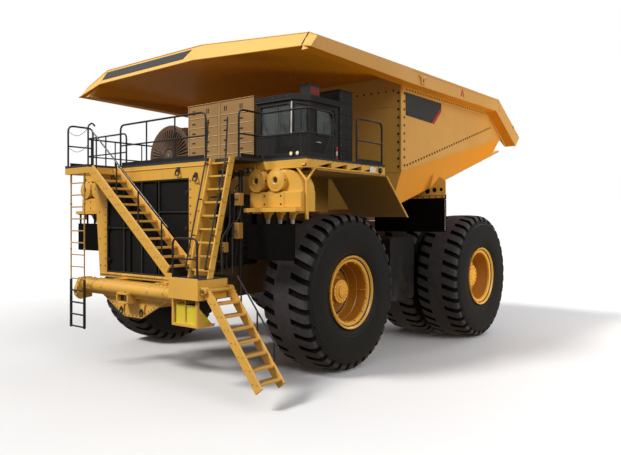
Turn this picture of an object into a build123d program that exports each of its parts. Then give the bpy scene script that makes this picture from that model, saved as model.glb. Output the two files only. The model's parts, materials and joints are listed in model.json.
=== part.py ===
"""Rigid-frame mining dump truck, as an assembly of named pieces.

Millimetres. X points to the truck's left (the cab side), Y to its rear, Z up.
The origin is on the ground, at the centre of the truck's outline.
"""
import math
import os

from build123d import *

# ---------------------------------------------------------------- driving sizes
wheelbase = 6700
front_axle_y = -2790
rear_axle_y = front_axle_y + wheelbase

tyre_radius = 2014
tyre_width = 1470
rim_radius = 800            # the tyre's seat on the rim
rim_flange = 941            # the rim's outer edge
dual_gap = 150              # between the twin rear tyres
front_wheel_x = 3420
rear_wheel_x = 3933         # the outer of the twin tyres
axle_z = tyre_radius

frame_rail_x = 900
frame_rail_width = 320
frame_half = frame_rail_x + frame_rail_width / 2
frame_inner = frame_rail_x - frame_rail_width / 2

deck_top = 5300
deck_plate = 60
deck_beam_drop = 190        # depth of the yellow beam under the deck plate
deck_half = 4500
deck_rear_y = front_axle_y + 900
deck_wing_front_y = front_axle_y - 2350     # front edge beside the cab
grille_front_y = front_axle_y - 3380
landing_front_y = front_axle_y - 4250

bed_half = 4300             # outer face of the load box
rail_out = 355
bed_rail_half = bed_half + rail_out             # outer face of the top rail
bed_wall = 60
bed_front_y = front_axle_y + 2060
bed_top_z = 8040
bed_corner_y = rear_axle_y + 1300          # where the top rail turns down
bed_tail_y = rear_axle_y + 3230
bed_tail_z = 6910
canopy_front_y = front_axle_y - 2416
bed_floor_slope = 0.291
bed_floor_front_z = 4180    # underside of the floor at the headboard
bed_floor_plate = 60
floor_inset = 350
floor_half = bed_half - floor_inset
rail_depth = 420            # height of the top rail

pivot_y = rear_axle_y + 1000
pivot_z = 3500
pivot_pin_r = 90
running_gap = 0.05          # radial, pins and spindles in their bores
curved_gap = 0.5            # between curved faces that only pass each other
side_gap = 10               # between plates that turn beside each other
rest_gap = 8                # under a piece that rests on a stop

kingpin_x = 2300
arm_eye = (2150, 720)       # steering arm's eye: X, Y behind the front axle
steer_pin = (550, 610)      # steering cylinder's base pin: X, Y behind the front axle
steer_pin_r = 40
steer_z = 1700
steer_barrel_r = 90
hoist_x = frame_half + 370
hoist_base = (front_axle_y + 3700, 1950)    # Y, Z of the hoist cylinder's base pin
hoist_pin_r = 70
hoist_eye_half = 90
strut_radius = 270
strut_rod_radius = 190
spindle_radius = 200

sides = (("left", 1), ("right", -1))


# ---------------------------------------------------------------- shared shapes
def block(x_span, y_span, z_span, mode=Mode.ADD):
    """A box between two corners, for use inside a BuildPart block."""
    centre = [(low + high) / 2 for low, high in (x_span, y_span, z_span)]
    size = [abs(high - low) for low, high in (x_span, y_span, z_span)]
    with Locations(tuple(centre)):
        Box(*size, mode=mode)


def plate_yz(points, x_low, x_high, mode=Mode.ADD):
    """A flat plate: a side-view outline of (y, z) points, between two X places."""
    with BuildSketch(Plane.YZ.offset(x_low)) as outline:
        with BuildLine():
            Polyline(*points, close=True)
        make_face()
    extrude(outline.sketch, amount=x_high - x_low, mode=mode)


def plate_xz(points, y_low, y_high, mode=Mode.ADD):
    """A flat plate: a front-view outline of (x, z) points, between two Y places."""
    with BuildSketch(Plane.XZ.offset(-y_low)) as outline:
        with BuildLine():
            Polyline(*points, close=True)
        make_face()
    extrude(outline.sketch, amount=y_low - y_high, mode=mode)


def plate_xy(points, z_low, z_high, mode=Mode.ADD):
    """A flat plate: a plan outline of (x, y) points, between two heights."""
    with BuildSketch(Plane.XY.offset(z_low)) as outline:
        with BuildLine():
            Polyline(*points, close=True)
        make_face()
    extrude(outline.sketch, amount=z_high - z_low, mode=mode)


def bar(start, end, radius, mode=Mode.ADD):
    """A round bar from one point to another."""
    run = Vector(*end) - Vector(*start)
    with BuildSketch(Plane(origin=start, z_dir=run)) as outline:
        Circle(radius)
    extrude(outline.sketch, amount=run.length, mode=mode)


def disc_x(x_low, x_high, y, z, radius, mode=Mode.ADD):
    """A round disc or shaft along X."""
    with BuildSketch(Plane.YZ.offset(x_low)) as outline:
        with Locations((y, z)):
            Circle(radius)
    extrude(outline.sketch, amount=x_high - x_low, mode=mode)


def spun_x(section, x_centre, axle_y, side, mode=Mode.ADD):
    """A wheel-like body: (outward, radius) points turned about the axle."""
    plane = Plane(origin=(x_centre, axle_y, axle_z), x_dir=(side, 0, 0), z_dir=(0, -side, 0))
    with BuildSketch(plane) as outline:
        with BuildLine():
            Polyline(*section, close=True)
        make_face()
    revolve(outline.sketch, axis=Axis((0, axle_y, axle_z), (1, 0, 0)), mode=mode)


def save(piece, name):
    """Labels a finished piece and writes it as its own STEP file."""
    piece.part.label = name
    export_step(piece.part, f"parts/{name}.step")


os.makedirs("parts", exist_ok=True)


# ---------------------------------------------------------------- wheels
half_tyre = tyre_width / 2
bead_x = half_tyre - 130


def tyre_section(x_centre, axle_y):
    """One tyre: bead, bulged wall, shoulder and crown, turned about the axle."""
    plane = Plane(origin=(x_centre, axle_y, axle_z), x_dir=(1, 0, 0), z_dir=(0, -1, 0))
    wall_r = 1330
    wall_x = half_tyre - 14     # the arc bulges on from here to the full width
    shoulder = (half_tyre - 60, tyre_radius - 170)
    crown_edge = (half_tyre - 150, tyre_radius - 22)
    with BuildSketch(plane) as outline:
        with BuildLine():
            bead = (bead_x - 5, rim_radius + 5)
            flange = (bead_x - 5, rim_flange + 30)
            Line((-bead[0], bead[1]), bead)
            Line(bead, flange)
            ThreePointArc(flange, (wall_x, wall_r), shoulder)
            Line(shoulder, crown_edge)
            ThreePointArc(crown_edge, (0, tyre_radius), (-crown_edge[0], crown_edge[1]))
            Line((-crown_edge[0], crown_edge[1]), (-shoulder[0], shoulder[1]))
            ThreePointArc((-shoulder[0], shoulder[1]), (-wall_x, wall_r), (-flange[0], flange[1]))
            Line((-flange[0], flange[1]), (-bead[0], bead[1]))
        make_face()
    revolve(outline.sketch, axis=Axis((0, axle_y, axle_z), (1, 0, 0)))


# Rim outline, (outward from the tyre's middle, radius): flange, deep dish, disc and hub
front_bore = spindle_radius + running_gap
hub_end = 330
rim_front_outline = [
    (-bead_x, rim_radius), (-bead_x, rim_flange - 40), (-bead_x - 45, rim_flange - 40),
    (-bead_x - 45, rim_radius - 60), (-40, rim_radius - 60), (-40, 480), (-130, 420),
    (-130, front_bore), (hub_end, front_bore), (hub_end, 0), (hub_end + 60, 0),
    (hub_end + 60, 190), (hub_end, 300), (170, 330), (60, 480), (60, rim_radius - 90),
    (bead_x + 40, rim_radius - 60), (bead_x + 40, rim_flange - 30),
    (bead_x + 85, rim_flange), (bead_x + 20, rim_flange), (bead_x, rim_radius),
]

for side_name, side in sides:
    with BuildPart() as front_tyre:
        tyre_section(side * front_wheel_x, front_axle_y)
    save(front_tyre, f"front_tyre_{side_name}")

    with BuildPart() as front_rim:
        spun_x(rim_front_outline, side * front_wheel_x, front_axle_y, side)
    save(front_rim, f"front_rim_{side_name}")

rear_inner_x = rear_wheel_x - tyre_width - dual_gap
rear_hub_r = 560
rear_bore = rear_hub_r + running_gap
rear_spindle_end = 3300     # outer end of the fixed axle tube
inboard = rear_inner_x - rear_wheel_x
# Twin rim, measured outward from the outer tyre's middle
rim_rear_outline = [
    (inboard - bead_x, rim_radius), (inboard - bead_x, rim_flange - 40),
    (inboard - bead_x - 45, rim_flange - 40), (inboard - bead_x - 45, rim_radius - 60),
    (inboard - 200, rim_radius - 60), (inboard - 200, rear_bore),
    (rear_spindle_end - rear_wheel_x + 30, rear_bore), (rear_spindle_end - rear_wheel_x + 30, 0),
    (390, 0), (390, 150), (360, 200), (360, 330), (300, 400), (180, 420), (180, 560),
    (100, 600), (100, rim_radius - 90), (bead_x + 40, rim_radius - 60),
    (bead_x + 40, rim_flange - 30), (bead_x + 85, rim_flange), (bead_x + 20, rim_flange),
    (bead_x, rim_radius), (-bead_x, rim_radius), (-bead_x, rim_flange - 40),
    (-bead_x - 45, rim_flange - 40), (-bead_x - 45, rim_radius), (inboard + bead_x + 45, rim_radius),
    (inboard + bead_x + 45, rim_flange - 40), (inboard + bead_x, rim_flange - 40),
    (inboard + bead_x, rim_radius),
]

for side_name, side in sides:
    with BuildPart() as rear_tyres:
        tyre_section(side * rear_wheel_x, rear_axle_y)
        tyre_section(side * rear_inner_x, rear_axle_y)
    save(rear_tyres, f"rear_tyres_{side_name}")

    with BuildPart() as rear_rims:
        spun_x(rim_rear_outline, side * rear_wheel_x, rear_axle_y, side)
    save(rear_rims, f"rear_rims_{side_name}")


# ---------------------------------------------------------------- chassis
frame_front_y = front_axle_y - 2940
rail_points = [
    (frame_front_y, 1750), (frame_front_y, 2300), (front_axle_y - 1200, 2600),
    (front_axle_y + 1600, 2750), (front_axle_y + 4200, 3150), (rear_axle_y - 1700, pivot_z + 340),
    (pivot_y, pivot_z + 340), (pivot_y, pivot_z - 340), (rear_axle_y + 500, 2980),
    (rear_axle_y - 1100, 2980), (rear_axle_y - 2200, 2300), (front_axle_y + 1600, 1850),
]
rear_tube = (pivot_y - 560, pivot_z, 180)           # y, z, radius
nose_tube = (rear_axle_y - 2000, 2900, 200)
cross_tubes = ((frame_front_y + 180, 2020, 140), (front_axle_y + 1500, 2300, 220), nose_tube, rear_tube)
strut_low_z = 2480
strut_top_z = 3880
beam_half_y = 330
beam_z = (2620, 3300)
member_z = (1850, 1990)     # cross member that carries the steering cylinders

with BuildPart() as main_frame:
    for side_name, side in sides:
        low_x = side * frame_rail_x - frame_rail_width / 2
        plate_yz(rail_points, low_x, low_x + frame_rail_width)
        # Rounded rail end and the pin for the bed, standing out of both faces of the rail
        disc_x(low_x, low_x + frame_rail_width, pivot_y, pivot_z, 340)
        disc_x(low_x - 80, low_x + frame_rail_width + 80, pivot_y, pivot_z, pivot_pin_r)
        # Front axle beam, bored for the suspension strut
        block(sorted((side * frame_half, side * (kingpin_x - 100))),
              (front_axle_y - beam_half_y, front_axle_y + beam_half_y), beam_z)
        bar((side * kingpin_x, front_axle_y, beam_z[0] - 10), (side * kingpin_x, front_axle_y, beam_z[1] + 10),
            strut_radius + curved_gap, mode=Mode.SUBTRACT)
        # Pins for the steering cylinder and the hoist cylinder
        bar((side * steer_pin[0], front_axle_y + steer_pin[1], member_z[0]),
            (side * steer_pin[0], front_axle_y + steer_pin[1], steer_z - 110), steer_pin_r)
        hoist_y, hoist_z = hoist_base
        plate_yz([(hoist_y - 260, 2240), (hoist_y - 130, hoist_z - 110), (hoist_y + 130, hoist_z - 110),
                  (hoist_y + 260, 2320)], *sorted((side * (frame_half - 60), side * frame_half)))
        disc_x(*sorted((side * frame_half, side * (hoist_x + 240))), hoist_y, hoist_z, hoist_pin_r)
    for tube_y, tube_z, tube_r in cross_tubes:
        disc_x(-frame_inner, frame_inner, tube_y, tube_z, tube_r)
    block((-frame_inner, frame_inner), (front_axle_y + steer_pin[1] - 50, front_axle_y + steer_pin[1] + 50),
          member_z)
save(main_frame, "main_frame")

engine_half = 620
engine_z = (2000, 4600)
with BuildPart() as engine_block:
    block((-engine_half, engine_half), (front_axle_y - 2500, front_axle_y + 1100), engine_z)
    for mount_y in (front_axle_y - 2000, front_axle_y + 700):
        block((-frame_inner, frame_inner), (mount_y - 100, mount_y + 100), (2300, 2420))
save(engine_block, "engine_block")

with BuildPart() as front_struts:
    for side_name, side in sides:
        bar((side * kingpin_x, front_axle_y, strut_low_z), (side * kingpin_x, front_axle_y, strut_top_z),
            strut_radius)
        bar((side * kingpin_x, front_axle_y, 1620), (side * kingpin_x, front_axle_y, strut_low_z),
            strut_rod_radius)
        # Flange that sits on the axle beam
        bar((side * kingpin_x, front_axle_y, beam_z[1]), (side * kingpin_x, front_axle_y, beam_z[1] + 60),
            strut_radius + 60)
save(front_struts, "front_struts")

collar_radius = 290
arm_z = (1560, 1640)
for side_name, side in sides:
    with BuildPart() as knuckle:
        bar((side * kingpin_x, front_axle_y, arm_z[0]),
            (side * kingpin_x, front_axle_y, strut_low_z - side_gap), collar_radius)
        disc_x(side * (kingpin_x + 180), side * (front_wheel_x + hub_end - 30), front_axle_y, axle_z,
               spindle_radius)
        with BuildSketch(Plane.XY.offset(arm_z[0])):
            with BuildLine():
                Polyline((side * (kingpin_x + 240), front_axle_y), (side * (kingpin_x - 240), front_axle_y),
                         (side * (arm_eye[0] - 110), front_axle_y + arm_eye[1]),
                         (side * (arm_eye[0] + 110), front_axle_y + arm_eye[1]), close=True)
            make_face()
            with Locations((side * arm_eye[0], front_axle_y + arm_eye[1])):
                Circle(110)
        extrude(amount=arm_z[1] - arm_z[0])
        bar((side * kingpin_x, front_axle_y, 1600), (side * kingpin_x, front_axle_y, strut_low_z),
            strut_rod_radius + running_gap, mode=Mode.SUBTRACT)
    save(knuckle, f"steering_knuckle_{side_name}")

# Steering cylinders: barrel pinned under the frame, rod's eye above the steering arm
steer_rod_r = 50
steer_barrel_len = 980
rod_inner_end = 520
for side_name, side in sides:
    base = Vector(side * steer_pin[0], front_axle_y + steer_pin[1], steer_z)
    eye = Vector(side * arm_eye[0], front_axle_y + arm_eye[1], steer_z)
    run = (eye - base).normalized()
    with BuildPart() as steer_barrel:
        bar(base, base + run * steer_barrel_len, steer_barrel_r)
        bar(base - Vector(0, 0, 100), base + Vector(0, 0, 100), 100)
        bar(base + run * 115, base + run * (steer_barrel_len + 50), steer_rod_r + curved_gap,
            mode=Mode.SUBTRACT)
        bar(base - Vector(0, 0, 120), base + Vector(0, 0, 120), steer_pin_r + running_gap,
            mode=Mode.SUBTRACT)
    save(steer_barrel, f"steer_barrel_{side_name}")
    with BuildPart() as steer_rod:
        bar(base + run * rod_inner_end, eye, steer_rod_r)
        bar(eye - Vector(0, 0, 50), eye + Vector(0, 0, 50), 95)
    save(steer_rod, f"steer_rod_{side_name}")

# Rear axle: housing with a fixed tube each side, carrying the twin wheels
with BuildPart() as rear_axle_housing:
    disc_x(-1250, 1250, rear_axle_y, axle_z, 780)
    disc_x(-rear_spindle_end, rear_spindle_end, rear_axle_y, axle_z, rear_hub_r)
    plate_xy([(-500, rear_axle_y - 700), (-180, nose_tube[0] - 100), (180, nose_tube[0] - 100),
              (500, rear_axle_y - 700)], axle_z - 220, axle_z + 220)
    # Nose bearing round the cross tube, and the two struts up to the rear tube
    block((-180, 180), (nose_tube[0] - 100, nose_tube[0] + 250), (axle_z - 220, nose_tube[1] + 100))
    disc_x(-180, 180, nose_tube[0], nose_tube[1], nose_tube[2] + 90)
    for side_name, side in sides:
        bar((side * 480, rear_tube[0], axle_z + 500), (side * 480, rear_tube[0], rear_tube[1] - 150), 120)
        disc_x(side * 480 - 150, side * 480 + 150, rear_tube[0], rear_tube[1], rear_tube[2] + 70)
    for tube_y, tube_z, tube_r in (nose_tube, rear_tube):
        disc_x(-frame_inner, frame_inner, tube_y, tube_z, tube_r + curved_gap, mode=Mode.SUBTRACT)
save(rear_axle_housing, "rear_axle_housing")

# Tanks between the wheels
tank_front_y = front_axle_y + 2780
tank_rear_y = front_axle_y + 4180
tank_inner_x = 1750
tank_outer_x = 3500
for tank_name, side in (("fuel_tank", -1), ("hydraulic_tank", 1)):
    with BuildPart() as tank:
        block(sorted((side * tank_inner_x, side * tank_outer_x)), (tank_front_y, tank_rear_y), (1450, 3350))
        fillet(tank.edges().filter_by(Axis.X), 120)
        block(sorted((side * frame_half, side * tank_inner_x)),
              (tank_front_y + 100, tank_front_y + 260), (2000, 2600))
    save(tank, tank_name)


# ---------------------------------------------------------------- front end
grille_half = 1700
grille_low_z = 2450
grille_top_z = 4870
post_outer_low = 2030
post_outer_top = 2290
housing_depth = 430
housing_rear_y = grille_front_y + housing_depth
beam_top_z = deck_top - deck_plate

with BuildPart() as radiator_housing:
    plate_xz([(-post_outer_low, grille_low_z - 130), (post_outer_low, grille_low_z - 130),
              (post_outer_top, beam_top_z), (-post_outer_top, beam_top_z)],
             grille_front_y, housing_rear_y)
    block((-grille_half, grille_half), (grille_front_y, housing_rear_y), (grille_low_z, grille_top_z),
          mode=Mode.SUBTRACT)
save(radiator_housing, "radiator_housing")

mullions = (-680, 420)
with BuildPart() as radiator_grille:
    block((-grille_half, grille_half), (grille_front_y + 60, housing_rear_y - 60), (grille_low_z, grille_top_z))
    for bar_x in mullions:
        block((bar_x - 25, bar_x + 25), (grille_front_y + 20, grille_front_y + 60),
              (grille_low_z, grille_top_z))
save(radiator_grille, "radiator_grille")

# Bumper: two long bars on a skirt plate with a V-shaped lower edge
bumper_y = front_axle_y - 3900
bumper_half = 1900
bumper_top_z = grille_low_z - 130
tow_thick = 130
tow_box_half = 240
tow_box_z = (1800, 2060)
bumper_tube_z = 2140
bumper_tube_r = 150
skirt_half = 1780
tow_eye = (bumper_y - 190, 1965)    # Y, Z
tow_eye_r = 50
with BuildPart() as front_bumper:
    bar((-bumper_half, bumper_y, bumper_tube_z), (bumper_half, bumper_y, bumper_tube_z), bumper_tube_r)
    plate_xz([(-skirt_half, bumper_tube_z), (skirt_half, bumper_tube_z), (350, 1420), (-350, 1420)],
             bumper_y + 140, bumper_y + 200)
    block((-bumper_half, bumper_half), (bumper_y, bumper_y + 200), (1930, 2320))
    for side_name, side in sides:
        block(sorted((side * frame_inner, side * frame_half)), (bumper_y + 200, frame_front_y),
              (1750, bumper_top_z))
    # Towing socket in the middle: a boxed frame round an open mouth
    block((-tow_box_half, tow_box_half), (bumper_y - 180, bumper_y + 150), (tow_box_z[0], tow_box_z[1]))
    block((45 - tow_box_half, tow_box_half - 45), (bumper_y - 190, bumper_y - 60),
          (tow_box_z[0] + 45, tow_box_z[1] - 45), mode=Mode.SUBTRACT)
    # Tow eye at the right end
    plate_yz([(bumper_y - 270, 1880), (bumper_y - 270, 2060), (bumper_y - 140, 2340),
              (bumper_y + 200, 2340), (bumper_y + 200, 1800), (bumper_y - 140, 1760)],
             -bumper_half - tow_thick, -bumper_half)
    disc_x(-bumper_half - tow_thick, -bumper_half, tow_eye[0], tow_eye[1], tow_eye_r, mode=Mode.SUBTRACT)
save(front_bumper, "front_bumper")

platform_x = (2080, 3060)
platform_y = (landing_front_y - 50, front_axle_y - 3420)
platform_z = (2120, 2560)
hinge_x = platform_x[1] + 90
hinge_z = 2330
hinge_pin_r = 40
access_y = (landing_front_y + 90, landing_front_y + 820)
chock_holder_y = landing_front_y + 60
with BuildPart() as bumper_platform:
    block(platform_x, platform_y, platform_z)
    block((bumper_half, platform_x[0]), (bumper_y, bumper_y + 180), (2150, 2400))
    # Hinge of the access stair
    block((platform_x[1] - 100, platform_x[1]), (platform_y[0], access_y[1] + 70), (hinge_z - 80, hinge_z + 80))
    for low_y in (access_y[0] - 70, access_y[1] + 10):
        block((platform_x[1], hinge_x), (low_y, low_y + 60), (hinge_z - 80, hinge_z + 80))
        bar((hinge_x, low_y, hinge_z), (hinge_x, low_y + 60, hinge_z), 80)
    bar((hinge_x, access_y[0] - 10, hinge_z), (hinge_x, access_y[1] + 10, hinge_z), hinge_pin_r)
    # Holder for the wheel chocks
    for low_x in (2060, 2860):
        block((low_x, low_x + 60), (chock_holder_y, chock_holder_y + 60), (1560, platform_z[0]))
    block((2060, 2920), (chock_holder_y, chock_holder_y + 60), (1500, 1560))
save(bumper_platform, "bumper_platform")

with BuildPart() as wheel_chocks:
    for low_x in (2130, 2500):
        plate_yz([(chock_holder_y + 60, 1500), (chock_holder_y + 550, 1500), (chock_holder_y + 60, 1980)],
                 low_x, low_x + 340)
save(wheel_chocks, "wheel_chocks")

# ---------------------------------------------------------------- decks
ladder_x = (2330, 3030)
landing_x = (-2330, -1220)          # in front of the grille, at the head of the stair
stair_y = (landing_front_y, landing_front_y + 780)

deck_outline = [
    (-deck_half, deck_wing_front_y), (-post_outer_top, deck_wing_front_y),
    (-post_outer_top, grille_front_y), (post_outer_top, grille_front_y),
    (post_outer_top, front_axle_y - 3150), (ladder_x[1] + 120, front_axle_y - 3150),
    (ladder_x[1] + 120, deck_wing_front_y), (deck_half, deck_wing_front_y),
    (deck_half, deck_rear_y), (-deck_half, deck_rear_y),
]
with BuildPart() as deck_floor:
    plate_xy(deck_outline, deck_top - deck_plate, deck_top)
    block(landing_x, (stair_y[0], grille_front_y), (deck_top - deck_plate, deck_top))
save(deck_floor, "deck_floor")

# Yellow beams under the deck's edges, with the landing's own frame
beam_low_z = beam_top_z - deck_beam_drop
beam_wide = 120
window_boom = 38
window_bays = 4
window_pitch = 620
post_wide = 60
fork_z = beam_low_z - 270
fork_reach = 300
fork_radius = 28
with BuildPart() as deck_frame:
    for side_name, side in sides:
        outer = sorted((side * deck_half, side * (deck_half - beam_wide)))
        block(outer, (deck_wing_front_y, deck_rear_y), (beam_low_z, beam_top_z))
        wing = sorted((side * (deck_half - beam_wide), side * (post_outer_top + 40)))
        block(wing, (deck_wing_front_y, deck_wing_front_y + beam_wide), (beam_low_z, beam_top_z))
        block(wing, (deck_rear_y - beam_wide, deck_rear_y), (beam_low_z, beam_top_z))
        inner = sorted((side * (post_outer_top + 40), side * (post_outer_top + 40 - beam_wide)))
        block(inner, (housing_rear_y + 20, deck_rear_y), (beam_low_z, beam_top_z))
        # Windows in the side beam: a run of triangles between its two booms
        for bay in range(window_bays):
            bay_y = deck_wing_front_y + 380 + bay * window_pitch
            window = [(bay_y, beam_low_z + window_boom), (bay_y + window_pitch - 90, beam_low_z + window_boom),
                      (bay_y + window_pitch - 90, beam_top_z - window_boom)]
            plate_yz(window, *outer, mode=Mode.SUBTRACT)
        # Front post of the wheel arch, with a forked head under the corner
        post = sorted((side * deck_half, side * (deck_half - post_wide)))
        block(post, (deck_wing_front_y, deck_wing_front_y + post_wide), (3880, fork_z))
        corner_x = side * (deck_half - post_wide / 2)
        corner_y = deck_wing_front_y + post_wide / 2
        bar((corner_x, corner_y, fork_z - 30), (corner_x, corner_y + fork_reach, beam_low_z + 20), fork_radius)
        if side > 0:
            bar((corner_x, corner_y, fork_z - 30), (corner_x - fork_reach, corner_y, beam_low_z + 20),
                fork_radius)
    block(landing_x, (stair_y[0], grille_front_y), (beam_top_z - 160, beam_top_z))
save(deck_frame, "deck_frame")

# Fenders: an inner wall above each front tyre and a sloped rear sheet
fender_low_z = 4090
fender_inner_x = 2700
fender_sheet = 25
fender_front_y = front_axle_y - 1960
with BuildPart() as front_fenders:
    for side_name, side in sides:
        inner = sorted((side * fender_inner_x, side * (fender_inner_x + fender_sheet)))
        block(inner, (fender_front_y, deck_rear_y - beam_wide), (fender_low_z, beam_low_z))
        slope = [(deck_rear_y, beam_low_z - 20), (deck_rear_y + 60, beam_low_z - 20),
                 (front_axle_y + 2060, 3950), (front_axle_y + 2000, 3950)]
        outer = sorted((side * (fender_inner_x + fender_sheet), side * deck_half))
        plate_yz(slope, *outer)
        block(outer, (fender_front_y, deck_rear_y + 30), (beam_low_z - 45, beam_low_z - 20))
save(front_fenders, "front_fenders")

# ---------------------------------------------------------------- cab
cab_base = deck_top
cab_floor_z = cab_base + 80
cab_roof_z = cab_base + 1550
cab_sill_z = cab_base + 620
cab_head_z = cab_base + 1320
cab_wall = 60
roof_cap_out = 35
roof_cap_depth = 150
cab_rear_y = front_axle_y - 420
cab_front_y = front_axle_y - 2000
cab_corner_y = front_axle_y - 1550
cab_right_x = 2650
cab_bend_x = 3750
cab_left_x = 3950
cab_outline = [(cab_right_x, cab_front_y), (cab_bend_x, cab_front_y), (cab_left_x, cab_corner_y),
               (cab_left_x, cab_rear_y), (cab_right_x, cab_rear_y)]
door_y = (front_axle_y - 1400, front_axle_y - 560)
door_z = (cab_base + 120, cab_base + 1360)
door_gap = 8
with BuildPart() as cab_shell:
    plate_xy(cab_outline, cab_base, cab_roof_z)
    with BuildSketch(Plane.XY.offset(cab_floor_z)) as room:
        with BuildLine():
            Polyline(*cab_outline, close=True)
        make_face()
        offset(amount=-cab_wall, kind=Kind.INTERSECTION, mode=Mode.REPLACE)
    extrude(room.sketch, amount=cab_roof_z - 80 - cab_floor_z, mode=Mode.SUBTRACT)
    # Roof cap that stands out over the windows
    with BuildSketch(Plane.XY.offset(cab_roof_z - roof_cap_depth)) as cap:
        with BuildLine():
            Polyline(*cab_outline, close=True)
        make_face()
        offset(amount=roof_cap_out, kind=Kind.INTERSECTION, mode=Mode.REPLACE)
    extrude(cap.sketch, amount=roof_cap_depth)
    # Windscreen, corner window, right side and rear windows
    block((cab_right_x + 110, cab_bend_x - 40), (cab_front_y - 50, cab_front_y + cab_wall + 20),
          (cab_sill_z, cab_head_z), mode=Mode.SUBTRACT)
    bend = Vector(cab_left_x - cab_bend_x, cab_corner_y - cab_front_y, 0)
    with BuildSketch(Plane(origin=((cab_bend_x + cab_left_x) / 2, (cab_front_y + cab_corner_y) / 2,
                                   (cab_sill_z + cab_head_z) / 2),
                           x_dir=bend, z_dir=(bend.Y, -bend.X, 0))) as corner:
        Rectangle(bend.length - 120, cab_head_z - cab_sill_z)
    extrude(corner.sketch, amount=cab_wall * 2, both=True, mode=Mode.SUBTRACT)
    block((cab_right_x - 50, cab_right_x + cab_wall + 20), (cab_front_y + 200, cab_rear_y - 200),
          (cab_sill_z, cab_head_z), mode=Mode.SUBTRACT)
    block((cab_left_x - cab_wall - 20, cab_left_x + 50), (door_y[0] - door_gap, door_y[1] + door_gap),
          (door_z[0] - door_gap, door_z[1] + door_gap), mode=Mode.SUBTRACT)
save(cab_shell, "cab_shell")

with BuildPart() as cab_door:
    block((cab_left_x - cab_wall + 10, cab_left_x), door_y, door_z)
    block((cab_left_x - cab_wall - 10, cab_left_x + 20), (door_y[0] + 90, door_y[1] - 90),
          (cab_sill_z, door_z[1] - 80), mode=Mode.SUBTRACT)
save(cab_door, "cab_door")

glass = 12
with BuildPart() as cab_windows:
    block((cab_right_x + 110, cab_bend_x - 40), (cab_front_y + 20, cab_front_y + 20 + glass),
          (cab_sill_z, cab_head_z))
    with BuildSketch(Plane(origin=((cab_bend_x + cab_left_x) / 2, (cab_front_y + cab_corner_y) / 2,
                                   (cab_sill_z + cab_head_z) / 2),
                           x_dir=bend, z_dir=(-bend.Y, bend.X, 0)).offset(25)):
        Rectangle(bend.length - 120, cab_head_z - cab_sill_z)
    extrude(amount=glass)
    block((cab_right_x + 20, cab_right_x + 20 + glass), (cab_front_y + 200, cab_rear_y - 200),
          (cab_sill_z, cab_head_z))
save(cab_windows, "cab_windows")

with BuildPart() as door_window:
    block((cab_left_x - 35, cab_left_x - 35 + glass), (door_y[0] + 90, door_y[1] - 90),
          (cab_sill_z, door_z[1] - 80))
save(door_window, "cab_door_window")

seat_x = 3300
with BuildPart() as cab_interior:
    block((seat_x - 260, seat_x + 260), (front_axle_y - 1150, front_axle_y - 620),
          (cab_floor_z + 380, cab_floor_z + 520))
    block((seat_x - 240, seat_x + 240), (front_axle_y - 720, front_axle_y - 600),
          (cab_floor_z + 520, cab_floor_z + 1120))
    block((seat_x - 150, seat_x + 150), (front_axle_y - 1050, front_axle_y - 720),
          (cab_floor_z, cab_floor_z + 380))
    block((cab_right_x + 150, cab_bend_x - 100), (cab_front_y + 120, cab_front_y + 330),
          (cab_floor_z, cab_floor_z + 500))
    bar((seat_x, cab_front_y + 330, cab_floor_z + 470), (seat_x, cab_front_y + 500, cab_floor_z + 620), 30)
    bar((seat_x, cab_front_y + 490, cab_floor_z + 610), (seat_x, cab_front_y + 515, cab_floor_z + 635), 220)
save(cab_interior, "cab_interior")

with BuildPart() as display_board:
    block((3480, 3800), (front_axle_y - 1400, front_axle_y - 960), (cab_roof_z, cab_roof_z + 330))
save(display_board, "display_board")

with BuildPart() as cab_rear_cabinet:
    block((3250, 3950), (cab_rear_y + 50, cab_rear_y + 620), (deck_top, deck_top + 1850))
save(cab_rear_cabinet, "cab_rear_cabinet")

with BuildPart() as control_cabinets:
    for low_x, high_x in ((-500, 740), (770, 2050)):
        block((low_x, high_x), (front_axle_y - 1500, front_axle_y - 700), (deck_top, deck_top + 1750))
save(control_cabinets, "control_cabinets")

drum_x = -1480
drum_z = deck_top + 420
drum_radius = 900
with BuildPart() as retarder_drum:
    bar((drum_x, front_axle_y - 1400, drum_z), (drum_x, front_axle_y - 250, drum_z), drum_radius)
    block((drum_x - 1000, drum_x + 1000), (front_axle_y - 1500, front_axle_y - 100), (deck_top - 700, deck_top),
          mode=Mode.SUBTRACT)
save(retarder_drum, "retarder_drum")

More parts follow.
